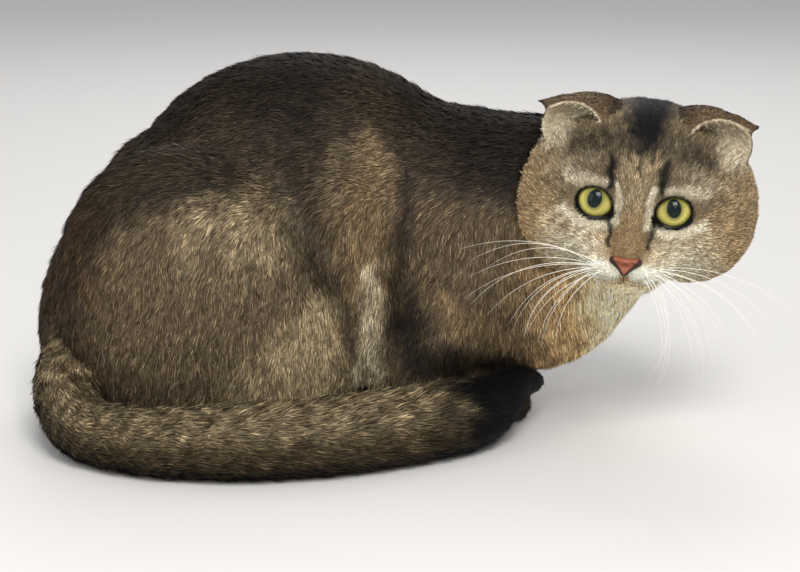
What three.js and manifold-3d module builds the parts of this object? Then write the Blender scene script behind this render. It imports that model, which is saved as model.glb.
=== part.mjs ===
// A Scottish Fold cat, life size, crouched on the floor with its head turned to its right
// and its tail laid forward along its right side.
// Millimetres, +X to the front of the cat, +Y to its left, +Z up, the floor at z = 0.

import * as THREE from 'three';
import { mergeVertices } from 'three/addons/utils/BufferGeometryUtils.js';
import Module from 'manifold-3d';

const wasm = await Module();
wasm.setup();

// Gap kept between pieces that meet
const GAP = 0.3;
// Farthest that any surface lies from the middle of its own form
const REACH = 190;

// Head: its middle, and the turn, nod and tilt that point the face
const HEAD = { middle: [115, -45, 119.5], turn: -10.3, nod: -4, tilt: 5.5 };
const EYE = { apart: 35.5, back: -26, height: -2.1, radius: 10.2, splay: 6, lid: 1.6 };
const OPENING = { half_width: 8.5, half_height: 7.4, slant: 9 };
const NOSE = { half_width: 7.1, front: -51, height: -26.3, drop: 4.6 };
const EAR = { middle: [27.5, -3, 29.5], radii: [23.5, 20, 17], lean: 5 };
const EAR_TIP = { from: [42, -5, 38], to: [54, -8, 39.5], thick: 5, point: 1.4 };
const EAR_CUP = { middle: [37.5, -18, 27], radii: [18.5, 14, 14.5] };

// Tail: points of its middle line on the floor side, and its radius
const TAIL_LINE = [
  [-128, 16, 50], [-147, 4, 44], [-158, -16, 38], [-162, -40, 31], [-160, -66, 23], [-147, -91, 17],
  [-120, -109, 16], [-82, -116, 17], [-40, -111, 18.5], [-4, -97, 18.5], [28, -77, 18.5], [46, -59, 21.5],
  [59, -42, 24], [72, -25, 20],
];
const TAIL = { root: 20.5, slim: 16.2, full: 19, tip: 7.5, slimAt: 0.36, fullAt: 0.6, tipAt: 0.8 };
const TAIL_MESH = { sides: 12, rings: 8, lengths: 6 };
const TAIL_REST = { down: 0.34, up: 0.8, sink: 0.1 };

// Colours of the coat and the bare parts
const FINISH = {
  coat_back: { color: 0x4a3b2e, roughness: 0.85 },
  coat_side: { color: 0x86735c, roughness: 0.85 },
  coat_face: { color: 0x94806a, roughness: 0.85 },
  coat_chest: { color: 0xa58a66, roughness: 0.85 },
  coat_tip: { color: 0x15110e, roughness: 0.85 },
  ear: { color: 0x8d7862, roughness: 0.8 },
  eye: { color: 0x9a9440, roughness: 0.12 },
  nose: { color: 0xa4573d, roughness: 0.5 },
};

// Distance fields: each form is a function that gives the distance from a point to its surface

const mirrored = ([x, y, z], side) => [x, y * side, z];
const mix = (a, b, t) => a + (b - a) * t;
const lengthOf = (x, y, z) => Math.sqrt(x * x + y * y + z * z);

// An ellipsoid, pitched about Y by lean degrees and yawed about Z by swing degrees
function ellipsoid(middle, radii, lean = 0, swing = 0) {
  const turn = new THREE.Euler(0, THREE.MathUtils.degToRad(lean), THREE.MathUtils.degToRad(swing), 'ZYX');
  const back = new THREE.Matrix4().makeRotationFromEuler(turn).invert();
  const local = new THREE.Vector3();
  return (p) => {
    local.set(p[0] - middle[0], p[1] - middle[1], p[2] - middle[2]).applyMatrix4(back);
    const k0 = lengthOf(local.x / radii[0], local.y / radii[1], local.z / radii[2]);
    const k1 = lengthOf(local.x / radii[0] ** 2, local.y / radii[1] ** 2, local.z / radii[2] ** 2);
    return k1 > 1e-9 ? (k0 * (k0 - 1)) / k1 : -Math.min(...radii);
  };
}

// A limb: a straight line from one end to the other with a radius at each
function limb(from, to, fromRadius, toRadius) {
  const line = to.map((value, i) => value - from[i]);
  const square = line[0] ** 2 + line[1] ** 2 + line[2] ** 2;
  return (p) => {
    const d = [p[0] - from[0], p[1] - from[1], p[2] - from[2]];
    const along = Math.min(1, Math.max(0, (d[0] * line[0] + d[1] * line[1] + d[2] * line[2]) / square));
    const off = lengthOf(d[0] - along * line[0], d[1] - along * line[1], d[2] - along * line[2]);
    return off - mix(fromRadius, toRadius, along);
  };
}

// Forms run together over a width
function blend(width, ...forms) {
  return (p) => forms.slice(1).reduce((near, form) => {
    const far = form(p);
    const share = Math.max(width - Math.abs(near - far), 0) / width;
    return Math.min(near, far) - (share * share * width) / 4;
  }, forms[0](p));
}

// One form with another pressed out of it over a width
function press(width, form, tool) {
  return (p) => {
    const a = form(p);
    const b = -tool(p);
    const share = Math.max(width - Math.abs(a - b), 0) / width;
    return Math.max(a, b) + (share * share * width) / 4;
  };
}

// Body: trunk, neck, haunches and shoulders, run together as one form
const rump = ellipsoid([-104, 3, 40], [82.5, 60, 88]);
const loin = ellipsoid([-48, 3, 103], [92, 58, 80]);
const belly = ellipsoid([-45, 0, 55], [100, 56, 48]);
const ribs = ellipsoid([20, 0, 88], [78, 53, 62]);
const breast = ellipsoid([76, -9, 64], [50, 40, 38], -35);
const throat = limb([82, -8, 78], [110, -32, 90], 36, 25);
const nape = limb([52, -2, 102], [90, -12, 112], 50, 43);
const haunch = (side) => ellipsoid(mirrored([-92, 44, 60], side), [72, 44, 88], -30);
const flank = (side) => limb(mirrored([-30, 42, 112], side), mirrored([-4, 44, 36], side), 22, 18);
const shoulder = (side) => ellipsoid(mirrored([34, 32, 84], side), [34, 26, 50], -8);
const elbow = (side) => limb(mirrored([30, 38, 70], side), mirrored([12, 46, 34], side), 24, 20);

const barrel = blend(22, rump, loin, belly, ribs, blend(10, breast, throat), nape);
const trunk = blend(12, barrel, flank(-1), flank(1));
const arms = (side) => blend(14, shoulder(side), elbow(side));

// Paws and feet, each with four toes
const TOES = [-1.5, -0.5, 0.5, 1.5];

function paw(side, { front, out, width, toe, height, toeIn }) {
  const toes = TOES.map((place) => {
    const back = toe + Math.abs(place) * 2.2;
    const middle = [front - back, out + toeIn + place * width * 0.27, height * 0.44];
    return ellipsoid(mirrored(middle, side), [toe, width * 0.16, height * 0.46]);
  });
  const palm = mirrored([front - toe - 9, out, height * 0.5], side);
  const ball = ellipsoid(palm, [15, width * 0.46, height * 0.6]);
  return blend(2.5, ball, ...toes);
}

const FORE = { front: 68, out: 21, width: 27, toe: 8.5, height: 19, toeIn: 1 };
const HIND = { front: 0, out: 62, width: 29, toe: 9, height: 20, toeIn: -1 };
const wrist = (side) => limb(mirrored([50, 20, 10], side), mirrored([36, 27, 14], side), 11, 11);
const sole = (side) => limb(mirrored([-22, 62, 10], side), mirrored([-96, 60, 15], side), 12, 14);
const forepaw = (side) => blend(6, paw(side, FORE), wrist(side));
const forearm = (side) => limb(mirrored([40, 25, 14], side), mirrored([8, 44, 26], side), 13.5, 18);
const hindfoot = (side) => blend(8, paw(side, HIND), sole(side));

// Head, in its own frame: x to the cat's left, y backward, z up
const headFrame = new THREE.Group();
headFrame.position.set(...HEAD.middle);
headFrame.rotation.set(
  ...[HEAD.nod, HEAD.tilt, HEAD.turn].map((angle) => THREE.MathUtils.degToRad(angle)),
  'ZXY',
);
headFrame.updateMatrixWorld();
const pair = (form) => [form(-1), form(1)];
const across = ([x, y, z], side) => [x * side, y, z];
const skull = ellipsoid([0, 6, 6], [52, 45, 40]);
const cheek = (side) => ellipsoid([27.3 * side - 0.8, -2, -9.2 + 1.6 * side], [30.5, 33, 31.5]);
const muzzle = ellipsoid([0, -29, -25], [25, 19, 17]);
const pad = (side) => ellipsoid(across([9.5, -38, -30], side), [11.5, 10, 7.5]);
const chin = ellipsoid([0, -34, -36.5], [10, 9, 6.2]);
const bridge = limb([0, -29, 8], [0, -43.5, -21], 9.5, 6.5);
const eyeMiddle = (side) => [side * EYE.apart / 2, EYE.back, EYE.height];
const socket = (side) => ellipsoid(across([20, -40, -3.5], side), [11, 7, 9.5]);
const lids = (side) => ellipsoid(eyeMiddle(side), [1, 1, 1].map(() => EYE.radius + EYE.lid));
const face = blend(9, blend(14, skull, ...pair(cheek)), muzzle, bridge);
const snout = blend(4, face, ...pair(pad), chin);
const hollowed = press(6, press(6, snout, socket(-1)), socket(1));
const head = blend(3.5, hollowed, ...pair(lids));

// The whole form, with the back of the head run into the neck
const toHead = headFrame.matrixWorld.clone().invert();
const crown = blend(14, skull, ...pair(cheek));
const crownInPlace = (p) => crown(new THREE.Vector3(...p).applyMatrix4(toHead).toArray());
const body = blend(9, blend(7, trunk, crownInPlace), haunch(-1), haunch(1), arms(-1), arms(1));

// Solids: a form's surface as seen along rays from a point within it

// A round of rays that meet at two poles, closer together towards the first of them
function surface(form, middle, options) {
  const { pole = [1, 0, 0], around = 32, along = 24, crowd = 1, grow = 0, floor = -REACH } = options;
  let rays = new THREE.SphereGeometry(1, around, along);
  rays.deleteAttribute('normal');
  rays.deleteAttribute('uv');
  rays = mergeVertices(rays, 1e-5);
  const up = new THREE.Vector3(0, 1, 0);
  const toPole = new THREE.Quaternion().setFromUnitVectors(up, new THREE.Vector3(...pole).normalize());
  const place = rays.attributes.position;
  const ray = new THREE.Vector3();
  for (let i = 0; i < place.count; i += 1) {
    ray.fromBufferAttribute(place, i);
    const polar = Math.acos(THREE.MathUtils.clamp(ray.y, -1, 1));
    const drawn = Math.PI * (polar / Math.PI) ** crowd;
    const round = Math.hypot(ray.x, ray.z);
    const spread = round > 1e-6 ? Math.sin(drawn) / round : 0;
    ray.set(ray.x * spread, Math.cos(drawn), ray.z * spread).applyQuaternion(toPole);
    const reach = outward(form, middle, ray, grow, floor);
    place.setXYZ(i, middle[0] + ray.x * reach, middle[1] + ray.y * reach, middle[2] + ray.z * reach);
  }
  return rays;
}

// How far a ray runs to a form's outermost surface, or to the floor
function outward(form, middle, ray, grow, floor) {
  const at = (t) => form([middle[0] + ray.x * t, middle[1] + ray.y * t, middle[2] + ray.z * t]) - grow;
  const limit = ray.z < -1e-6 ? (floor - middle[2]) / ray.z : REACH;
  let outside = REACH;
  while (outside > 0 && at(outside) > 0) outside -= 3;
  let inside = Math.max(outside, 0);
  outside = inside + 3;
  for (let i = 0; i < 24; i += 1) {
    const half = (inside + outside) / 2;
    if (at(half) > 0) outside = half;
    else inside = half;
  }
  return Math.min(inside, limit);
}

// Joins and cuts

function solid(geometry) {
  const bare = new THREE.BufferGeometry();
  bare.setAttribute('position', geometry.attributes.position.clone());
  if (geometry.index) bare.setIndex(geometry.index.clone());
  const merged = mergeVertices(bare, 1e-5);
  return new wasm.Manifold(new wasm.Mesh({
    numProp: 3,
    vertProperties: new Float32Array(merged.attributes.position.array),
    triVerts: new Uint32Array(merged.index.array),
  }));
}

// The largest closed surface of a solid, as a geometry
function geometryOf(manifold) {
  const larger = (best, piece) => (piece.volume() > best.volume() ? piece : best);
  const largest = manifold.decompose().reduce(larger);
  const mesh = largest.getMesh();
  const geometry = new THREE.BufferGeometry();
  geometry.setAttribute('position', new THREE.BufferAttribute(new Float32Array(mesh.vertProperties), 3));
  geometry.setIndex(new THREE.BufferAttribute(new Uint32Array(mesh.triVerts), 1));
  return geometry;
}

const without = (piece, tools) => tools.reduce((rest, tool) => rest.subtract(tool), piece);

// A block that holds everything on one side of a plane through a point
function halfSpace(point, normal) {
  const size = 900;
  const block = new THREE.BoxGeometry(size, size, size);
  const out = new THREE.Vector3(...normal).normalize();
  block.translate(0, size / 2, 0);
  block.applyQuaternion(new THREE.Quaternion().setFromUnitVectors(new THREE.Vector3(0, 1, 0), out));
  block.translate(...point);
  return solid(block);
}

// The two sides of a cut as wide as the gap
function part(piece, point, normal) {
  const out = new THREE.Vector3(...normal).normalize();
  const shifted = (by) => point.map((value, i) => value + out.getComponent(i) * by);
  const back = out.toArray().map((value) => -value);
  return [
    piece.intersect(halfSpace(shifted(GAP / 2), out.toArray())),
    piece.intersect(halfSpace(shifted(-GAP / 2), back)),
  ];
}

// Tail: a bent, tapered tube in lengths that meet end to end
const tailPoints = TAIL_LINE.map((point) => new THREE.Vector3(...point));
const tailCurve = new THREE.CatmullRomCurve3(tailPoints, false, 'centripetal');

function tailRadius(t) {
  const { slimAt, fullAt, tipAt } = TAIL;
  const toSlim = THREE.MathUtils.smoothstep(t, 0, slimAt);
  const toFull = THREE.MathUtils.smoothstep(t, slimAt, fullAt);
  const toTip = THREE.MathUtils.smoothstep(t, tipAt, 1);
  const end = Math.max(0, (t - 0.95) / 0.05);
  const even = mix(mix(mix(TAIL.root, TAIL.slim, toSlim), TAIL.full, toFull), TAIL.tip, toTip);
  return even * Math.sqrt(Math.max(0, 1 - end * end));
}

// The middle of the tail, lowered where it lies on the floor so that it rests on a narrow flat
function tailMiddle(t) {
  const { down, up, sink } = TAIL_REST;
  const landed = THREE.MathUtils.smoothstep(t, down - 0.08, down);
  const lying = landed * (1 - THREE.MathUtils.smoothstep(t, up, up + 0.12));
  const middle = tailCurve.getPointAt(t);
  middle.z = mix(middle.z, tailRadius(t) * Math.cos(Math.PI / TAIL_MESH.sides) - sink, lying);
  return middle;
}

function tailTube(from, to, rings, grow = 0) {
  const { sides } = TAIL_MESH;
  const tube = new THREE.CylinderGeometry(1, 1, 1, sides, rings, false, Math.PI / sides);
  const place = tube.attributes.position;
  const side = new THREE.Vector3();
  for (let i = 0; i < place.count; i += 1) {
    const t = mix(from, to, 0.5 - place.getY(i));
    const radius = tailRadius(t) + grow;
    const middle = tailMiddle(t);
    const along = tailCurve.getTangentAt(t);
    side.set(0, 0, 1).cross(along).normalize();
    const up = along.clone().cross(side).normalize();
    middle.addScaledVector(side, place.getX(i) * radius).addScaledVector(up, place.getZ(i) * radius);
    place.setXYZ(i, middle.x, middle.y, Math.max(middle.z, 0));
  }
  tube.deleteAttribute('normal');
  tube.deleteAttribute('uv');
  return mergeVertices(tube, 1e-4);
}

// Head solids, in the head's own frame

const headRays = { pole: [0, -1, -0.28], around: 42, along: 30, crowd: 1.5 };
const headMiddle = [0, -2, -4];
const NAPE_CUT = 14;
const HEAD_BACK = [0, 1, 0.12];

function eyeball(side, grow = 0) {
  const ball = new THREE.SphereGeometry(EYE.radius + grow, 20, 12);
  ball.translate(...eyeMiddle(side));
  return ball;
}

// The opening between the lids: an oval tube along the gaze, wider toward the front
function lidOpening(side) {
  const tube = new THREE.CylinderGeometry(1, 1, 12, 24, 1);
  tube.scale(OPENING.half_width, 1, OPENING.half_height);
  tube.translate(0, -EYE.radius - 1, 0);
  tube.rotateY(THREE.MathUtils.degToRad(OPENING.slant * -side));
  tube.rotateZ(THREE.MathUtils.degToRad(EYE.splay * side));
  tube.translate(...eyeMiddle(side));
  return tube;
}

// Nose leather: a rounded triangle, and the two nostrils in it
const noseTop = ellipsoid([0, NOSE.front + 3.5, NOSE.height + 1.4], [NOSE.half_width, 4.2, 2.6]);
const noseFoot = [0, NOSE.front + 2.6, NOSE.height - NOSE.drop];
const noseWing = (side) => limb(across([5, NOSE.front + 3.2, NOSE.height + 1.2], side), noseFoot, 2.4, 1.5);
const nosePad = blend(2, noseTop, ...pair(noseWing));
const nostrilMiddle = (side) => across([4.8, NOSE.front + 0.2, NOSE.height - 0.8], side);
const nostril = (side) => ellipsoid(nostrilMiddle(side), [1.9, 3, 0.8], 38 * side);

// The mouth: a groove down from the nose and out along each lip
function mouthGroove(points) {
  const line = new THREE.CatmullRomCurve3(points.map(([x, z]) => {
    const start = new THREE.Vector3(x, -20, z);
    const reach = outward(head, start.toArray(), new THREE.Vector3(0, -1, 0), 0, -REACH);
    return start.add(new THREE.Vector3(0, -reach - 0.1, 0));
  }));
  const round = new THREE.Shape().absarc(0, 0, 0.8, 0, Math.PI * 2);
  const options = { steps: 8, curveSegments: 3, bevelEnabled: false, extrudePath: line };
  return new THREE.ExtrudeGeometry(round, options);
}

// Ear: a low hood folded forward with a tip at its outer end, and a cup open to the front
const earHood = (side) => blend(
  5,
  ellipsoid(across(EAR.middle, side), EAR.radii, EAR.lean * side),
  limb(across(EAR_TIP.from, side), across(EAR_TIP.to, side), EAR_TIP.thick, EAR_TIP.point),
);
const earCup = (side) => ellipsoid(across(EAR_CUP.middle, side), EAR_CUP.radii);

const headGrown = solid(surface(head, headMiddle, { ...headRays, grow: GAP }));
const noseRays = { pole: [0, -1, 0], around: 16, along: 10 };
const noseMiddle = [0, NOSE.front + 4, NOSE.height - 0.5];
const nosePiece = solid(surface(nosePad, noseMiddle, noseRays));
const noseGrown = solid(surface(nosePad, noseMiddle, { ...noseRays, grow: GAP }));
const nostrilRays = { around: 10, along: 8 };
const nostrils = pair((side) => solid(surface(nostril(side), nostrilMiddle(side), nostrilRays)));
const grooves = [
  [[0, -31], [0, -34], [0, -37]],
  [[0, -36.6], [3.5, -37.8], [8, -37.6], [13, -36], [18, -35.4]],
  [[0, -36.6], [-3.5, -37.8], [-8, -37.6], [-13, -36], [-18, -35.4]],
].map((points) => solid(mouthGroove(points)));
const headAhead = (back) => halfSpace([0, back, 0], HEAD_BACK.map((value) => -value));
const headFront = solid(surface(head, headMiddle, headRays)).intersect(headAhead(NAPE_CUT));
const headBlock = solid(surface(head, headMiddle, { pole: [0, -1, 0], around: 30, along: 22, grow: 1.6 }))
  .intersect(headAhead(NAPE_CUT + GAP))
  .transform(headFrame.matrixWorld.elements);
const headPiece = without(headFront, [
  ...pair((side) => solid(lidOpening(side))),
  ...pair((side) => solid(eyeball(side, GAP))),
  noseGrown,
  ...grooves,
]);
const earRays = { pole: [0, 1, 0], around: 18, along: 12 };
const hoodSolid = (side, grow = 0) => {
  const middle = across(EAR.middle, side);
  return solid(surface(earHood(side), middle, { ...earRays, grow }));
};
const ears = pair((side) => {
  const cup = solid(surface(earCup(side), across(EAR_CUP.middle, side), earRays));
  return without(hoodSolid(side), [cup, headGrown]);
});
const hoodsInPlace = pair((side) => hoodSolid(side, GAP).transform(headFrame.matrixWorld.elements));

// Body solids

const NECK_CUT = [76, -8, 110];
const NECK_AXIS = [0.82, -0.36, 0.44];
const RUMP_CUT = -92;
const CHEST_CUT = 2;

const tailGrown = solid(tailTube(0, 1, TAIL_MESH.rings * TAIL_MESH.lengths, GAP));

const formOf = (form, middle, options) => [
  solid(surface(form, middle, { floor: 0, ...options })),
  solid(surface(form, middle, { floor: 0, ...options, grow: GAP })),
];
const footOf = (form, middle, options) => pair((side) => (
  formOf(form(side), mirrored(middle, side), options)
));
const hindfeet = footOf(hindfoot, [-34, 62, 9], { around: 12, along: 15, crowd: 1.3 });
const forepaws = footOf(forepaw, [50, 20, 9], { around: 14, along: 12, crowd: 1.2 });
const forearms = footOf(forearm, [22, 36, 18], { around: 10, along: 8 });
const feetAll = [...hindfeet, ...forepaws, ...forearms].map(([, grown]) => grown);

// Cutters that part each thigh and each upper arm from the trunk
const THIGH = { middle: [-92, 98, 60], radii: [83, 68, 101], lean: -30 };
const ARM = { middle: [26, 78, 74], radii: [38, 44, 62], lean: -8 };

function cutter({ middle, radii, lean }, side, around, along, grow) {
  const place = mirrored(middle, side);
  return solid(surface(ellipsoid(place, radii, lean), place, { around, along, grow, pole: [0, 1, 0] }));
}

const thighCut = (side, grow) => cutter(THIGH, side, 16, 11, grow);
const armCut = (side, grow) => cutter(ARM, side, 14, 10, grow);
const limbCuts = [...pair((side) => thighCut(side, GAP)), ...pair((side) => armCut(side, GAP))];

// The body as seen from a point within each of its parts, down to just above the floor
const UNDERSIDE = 5;
const cast = (middle, options) => solid(surface(body, middle, { floor: UNDERSIDE, ...options }));
const trunkCast = cast([-42, 0, 84], { around: 32, along: 24 });
const neckCast = cast([86, -20, 108], { around: 22, along: 16 });
const castOf = (middle, options) => pair((side) => (
  cast(mirrored(middle, side), { ...options, pole: [0, side, 0] })
));
const thighCasts = castOf([-90, 40, 62], { around: 24, along: 18 });
const armCasts = castOf([26, 26, 76], { around: 18, along: 14 });

const neckWhole = without(neckCast, [headBlock, ...hoodsInPlace, ...limbCuts]);
const trunkWhole = without(trunkCast, [...limbCuts, headBlock, tailGrown, ...feetAll]);
const [neckPart] = part(neckWhole, NECK_CUT, NECK_AXIS);
const [, trunkPart] = part(trunkWhole, NECK_CUT, NECK_AXIS);
const thighs = pair((side) => without(
  thighCasts[side < 0 ? 0 : 1].intersect(thighCut(side, 0)),
  [tailGrown, ...feetAll],
));
const upperArms = pair((side) => without(
  armCasts[side < 0 ? 0 : 1].intersect(armCut(side, 0)),
  [thighCut(side, GAP), tailGrown, headBlock, ...feetAll],
));
const [frontPart, rumpPart] = part(trunkPart, [RUMP_CUT, 0, 0], [1, 0, 0]);
const [chestPart, loinPart] = part(frontPart, [CHEST_CUT, 0, 0], [1, 0, 0]);

const clearOfTail = (piece) => without(piece, [tailGrown]);
const sideName = (index) => (index === 0 ? 'right' : 'left');

// The cat

const cat = new THREE.Group();
const finished = {};
Object.entries(FINISH).forEach(([name, look]) => {
  finished[name] = new THREE.MeshStandardMaterial({ ...look, metalness: 0 });
});

function place(name, geometry, finish, group = cat) {
  const mesh = new THREE.Mesh(geometry, finished[finish]);
  mesh.name = name;
  group.add(mesh);
}

place('neck', geometryOf(neckPart), 'coat_back');
place('chest', geometryOf(chestPart), 'coat_chest');
place('loin', geometryOf(loinPart), 'coat_back');
place('rump', geometryOf(rumpPart), 'coat_back');
[0, 1].forEach((index) => {
  const [foot] = hindfeet[index];
  const [palm, palmGrown] = forepaws[index];
  const [fore] = forearms[index];
  const side = sideName(index);
  place(`thigh_${side}`, geometryOf(thighs[index]), 'coat_side');
  place(`hind_foot_${side}`, geometryOf(clearOfTail(foot)), 'coat_side');
  place(`upper_arm_${side}`, geometryOf(upperArms[index]), 'coat_side');
  place(`forearm_${side}`, geometryOf(without(clearOfTail(fore), [palmGrown])), 'coat_side');
  place(`forepaw_${side}`, geometryOf(clearOfTail(palm)), 'coat_side');
});

const tailLong = tailCurve.getLength();
for (let i = 0; i < TAIL_MESH.lengths; i += 1) {
  const trim = GAP / 2 / tailLong;
  const from = i / TAIL_MESH.lengths + trim;
  const to = (i + 1) / TAIL_MESH.lengths - (i < TAIL_MESH.lengths - 1 ? trim : 0);
  const finish = i < TAIL_MESH.lengths - 1 ? 'coat_side' : 'coat_tip';
  place(`tail_${i + 1}`, geometryOf(solid(tailTube(from, to, TAIL_MESH.rings))), finish);
}

place('head', geometryOf(headPiece), 'coat_face', headFrame);
place('nose', geometryOf(without(nosePiece, nostrils)), 'nose', headFrame);
[0, 1].forEach((index) => {
  const side = sideName(index);
  place(`eye_${side}`, geometryOf(solid(eyeball(index === 0 ? -1 : 1))), 'eye', headFrame);
  place(`ear_${side}`, geometryOf(ears[index]), 'ear', headFrame);
});
cat.add(headFrame);

// The origin is on the floor at the middle of the whole cat
cat.updateMatrixWorld(true);
const extent = new THREE.Box3().setFromObject(cat, true).getCenter(new THREE.Vector3());
const model = new THREE.Group();
cat.position.set(-extent.x, -extent.y, 0);
model.add(cat);

export default model;
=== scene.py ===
"""A crouching Scottish Fold cat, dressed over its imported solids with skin, coat, eyes, nose and whiskers."""

import logging
import math
from dataclasses import dataclass, field
from enum import Enum
from typing import Callable, Sequence

import bpy
import numpy as np
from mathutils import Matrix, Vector


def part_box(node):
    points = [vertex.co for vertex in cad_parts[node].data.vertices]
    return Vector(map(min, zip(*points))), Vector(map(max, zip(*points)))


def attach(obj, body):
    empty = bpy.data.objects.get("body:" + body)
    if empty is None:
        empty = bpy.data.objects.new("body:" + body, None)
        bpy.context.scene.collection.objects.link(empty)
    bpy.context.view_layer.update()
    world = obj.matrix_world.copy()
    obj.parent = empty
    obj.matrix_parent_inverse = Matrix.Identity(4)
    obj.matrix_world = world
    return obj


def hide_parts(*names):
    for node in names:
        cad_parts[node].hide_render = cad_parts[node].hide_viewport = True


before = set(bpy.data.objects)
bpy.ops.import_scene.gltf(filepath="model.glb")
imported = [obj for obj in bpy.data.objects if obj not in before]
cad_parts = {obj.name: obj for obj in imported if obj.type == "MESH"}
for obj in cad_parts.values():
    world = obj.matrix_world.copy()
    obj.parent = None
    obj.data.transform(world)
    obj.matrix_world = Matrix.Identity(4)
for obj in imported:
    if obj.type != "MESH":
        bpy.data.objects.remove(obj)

log = logging.getLogger("cat")

Array = np.ndarray
Field = Callable[[Array], Array]
Tone = tuple[float, float, float]

# Millimetres to metres
MM = 0.001
# Height kept above the floor by skin and coat, in millimetres
FLOOR = 0.25
# The least length that anything is divided by
TINY = 1e-9
# How many points are measured against the tail at a time
BLOCK = 50000
# How many plane waves make up each random field
WAVES = 9
# Right and left
SIDES = (-1, 1)


class Part(Enum):
    """The parts of the cat that the coat is laid out over."""

    BODY = 0
    HEAD = 1
    TAIL = 2
    FOOT = 3
    EAR = 4


class Slot(Enum):
    """The record's material slots."""

    BACK = "coat_back"
    SIDE = "coat_side"
    FACE = "coat_face"
    CHEST = "coat_chest"
    TIP = "coat_tip"
    EAR = "ear"
    EYE = "eye"
    NOSE = "nose"


# Distance fields


def about(axis: int, degrees: float) -> Array:
    """The rotation about one axis.

    Args:
        axis: Number of the axis, 0 to 2.
        degrees: Angle of the turn.

    Returns:
        A 3 by 3 rotation.
    """
    angle = math.radians(degrees)
    first, second = (axis + 1) % 3, (axis + 2) % 3
    turn = np.eye(3)
    turn[[first, second], [first, second]] = math.cos(angle)
    turn[first, second] = -math.sin(angle)
    turn[second, first] = math.sin(angle)
    return turn


def ellipsoid(middle: Sequence[float], radii: Sequence[float], lean: float = 0) -> Field:
    """An ellipsoid.

    Args:
        middle: Its middle.
        radii: Its three radii.
        lean: Pitch about Y in degrees.

    Returns:
        The field of its distance.
    """
    centre, size, turn = np.array(middle, float), np.array(radii, float), about(1, lean)

    def distance(p: Array) -> Array:
        """Distance from each point to the ellipsoid."""
        local = (p - centre) @ turn
        k0 = np.linalg.norm(local / size, axis=-1)
        k1 = np.linalg.norm(local / size**2, axis=-1)
        return np.where(k1 > TINY, k0 * (k0 - 1) / np.maximum(k1, TINY), -size.min())

    return distance


def limb(start: Sequence[float], end: Sequence[float], start_radius: float, end_radius: float) -> Field:
    """A round limb between two points.

    Args:
        start: One end.
        end: The other end.
        start_radius: Radius at the start.
        end_radius: Radius at the end.

    Returns:
        The field of its distance.
    """
    first, line = np.array(start, float), np.array(end, float) - np.array(start, float)
    square = float(line @ line)

    def distance(p: Array) -> Array:
        """Distance from each point to the limb."""
        off = p - first
        along = np.clip(off @ line / square, 0, 1)
        radius = start_radius + (end_radius - start_radius) * along
        return np.linalg.norm(off - along[..., None] * line, axis=-1) - radius

    return distance


def nearer(near: Array, far: Array, width: float) -> Array:
    """The lesser of two distances, rounded over a width where they meet."""
    share = np.maximum(width - np.abs(near - far), 0) / width
    return np.minimum(near, far) - share * share * width / 4


def blend(width: float, *forms: Field) -> Field:
    """Forms run together over a width.

    Args:
        width: How far the join spreads.
        forms: The fields to join.

    Returns:
        The joined field.
    """

    def distance(p: Array) -> Array:
        """Distance from each point to the joined form."""
        near = forms[0](p)
        for form in forms[1:]:
            near = nearer(near, form(p), width)
        return near

    return distance


def press(width: float, form: Field, tool: Field) -> Field:
    """A form with another pressed out of it.

    Args:
        width: How far the edge is rounded.
        form: The field that is kept.
        tool: The field that is taken away.

    Returns:
        The pressed field.
    """

    def distance(p: Array) -> Array:
        """Distance from each point to the pressed form."""
        return -nearer(-form(p), tool(p), width)

    return distance


def inset(form: Field, depth: float) -> Field:
    """A field moved inward by a depth."""

    def distance(p: Array) -> Array:
        """Distance from each point to the smaller form."""
        return form(p) + depth

    return distance


def sided(point: Sequence[float], side: int) -> list[float]:
    """A point of the cat's left, or its mirror image on the right when side is -1."""
    return [point[0], point[1] * side, point[2]]


def across(point: Sequence[float], side: int) -> list[float]:
    """The same in the head's frame, whose x runs across."""
    return [point[0] * side, point[1], point[2]]


def mirrored(local: Array) -> Array:
    """Points of the head's frame with its right half folded onto the left."""
    return np.stack([np.abs(local[:, 0]), local[:, 1], local[:, 2]], axis=1)


def smooth(value: Array, low: float, high: float) -> Array:
    """A smooth step from 0 at low to 1 at high."""
    t = np.clip((value - low) / (high - low), 0, 1)
    return t * t * (3 - 2 * t)


def ripple(p: Array, size: float, seed: int) -> Array:
    """A smooth random field made of plane waves.

    Args:
        p: Points in millimetres.
        size: Rough width of its patches in millimetres.
        seed: Seed of its draw.

    Returns:
        A value near -1 to 1 at each point.
    """
    rng = np.random.default_rng(seed)
    total = np.zeros(p.shape[:-1])
    for _ in range(WAVES):
        heading = rng.normal(size=3)
        heading *= rng.uniform(0.7, 1.4) * math.pi / size / np.linalg.norm(heading)
        total += np.sin(p @ heading + rng.uniform(0, 2 * math.pi))
    return total / math.sqrt(WAVES)


def unit(vectors: Array) -> Array:
    """Vectors at length 1."""
    return vectors / np.maximum(np.linalg.norm(vectors, axis=-1, keepdims=True), TINY)


@dataclass(frozen=True)
class HeadFrame:
    """The head's own frame: x to the head's left, y to its back, z up."""

    middle: tuple[float, float, float] = (115, -45, 119.5)
    turn: float = -10.3
    nod: float = -4
    tilt: float = 5.5

    def rotation(self) -> Array:
        """The rotation from the head's frame to the cat's."""
        return about(2, self.turn) @ about(0, self.nod) @ about(1, self.tilt)

    def inward(self, p: Array) -> Array:
        """Points of the cat's frame in the head's frame."""
        return (p - np.array(self.middle)) @ self.rotation()

    def outward(self, p: Array) -> Array:
        """Points of the head's frame in the cat's frame."""
        return p @ self.rotation().T + np.array(self.middle)


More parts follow.
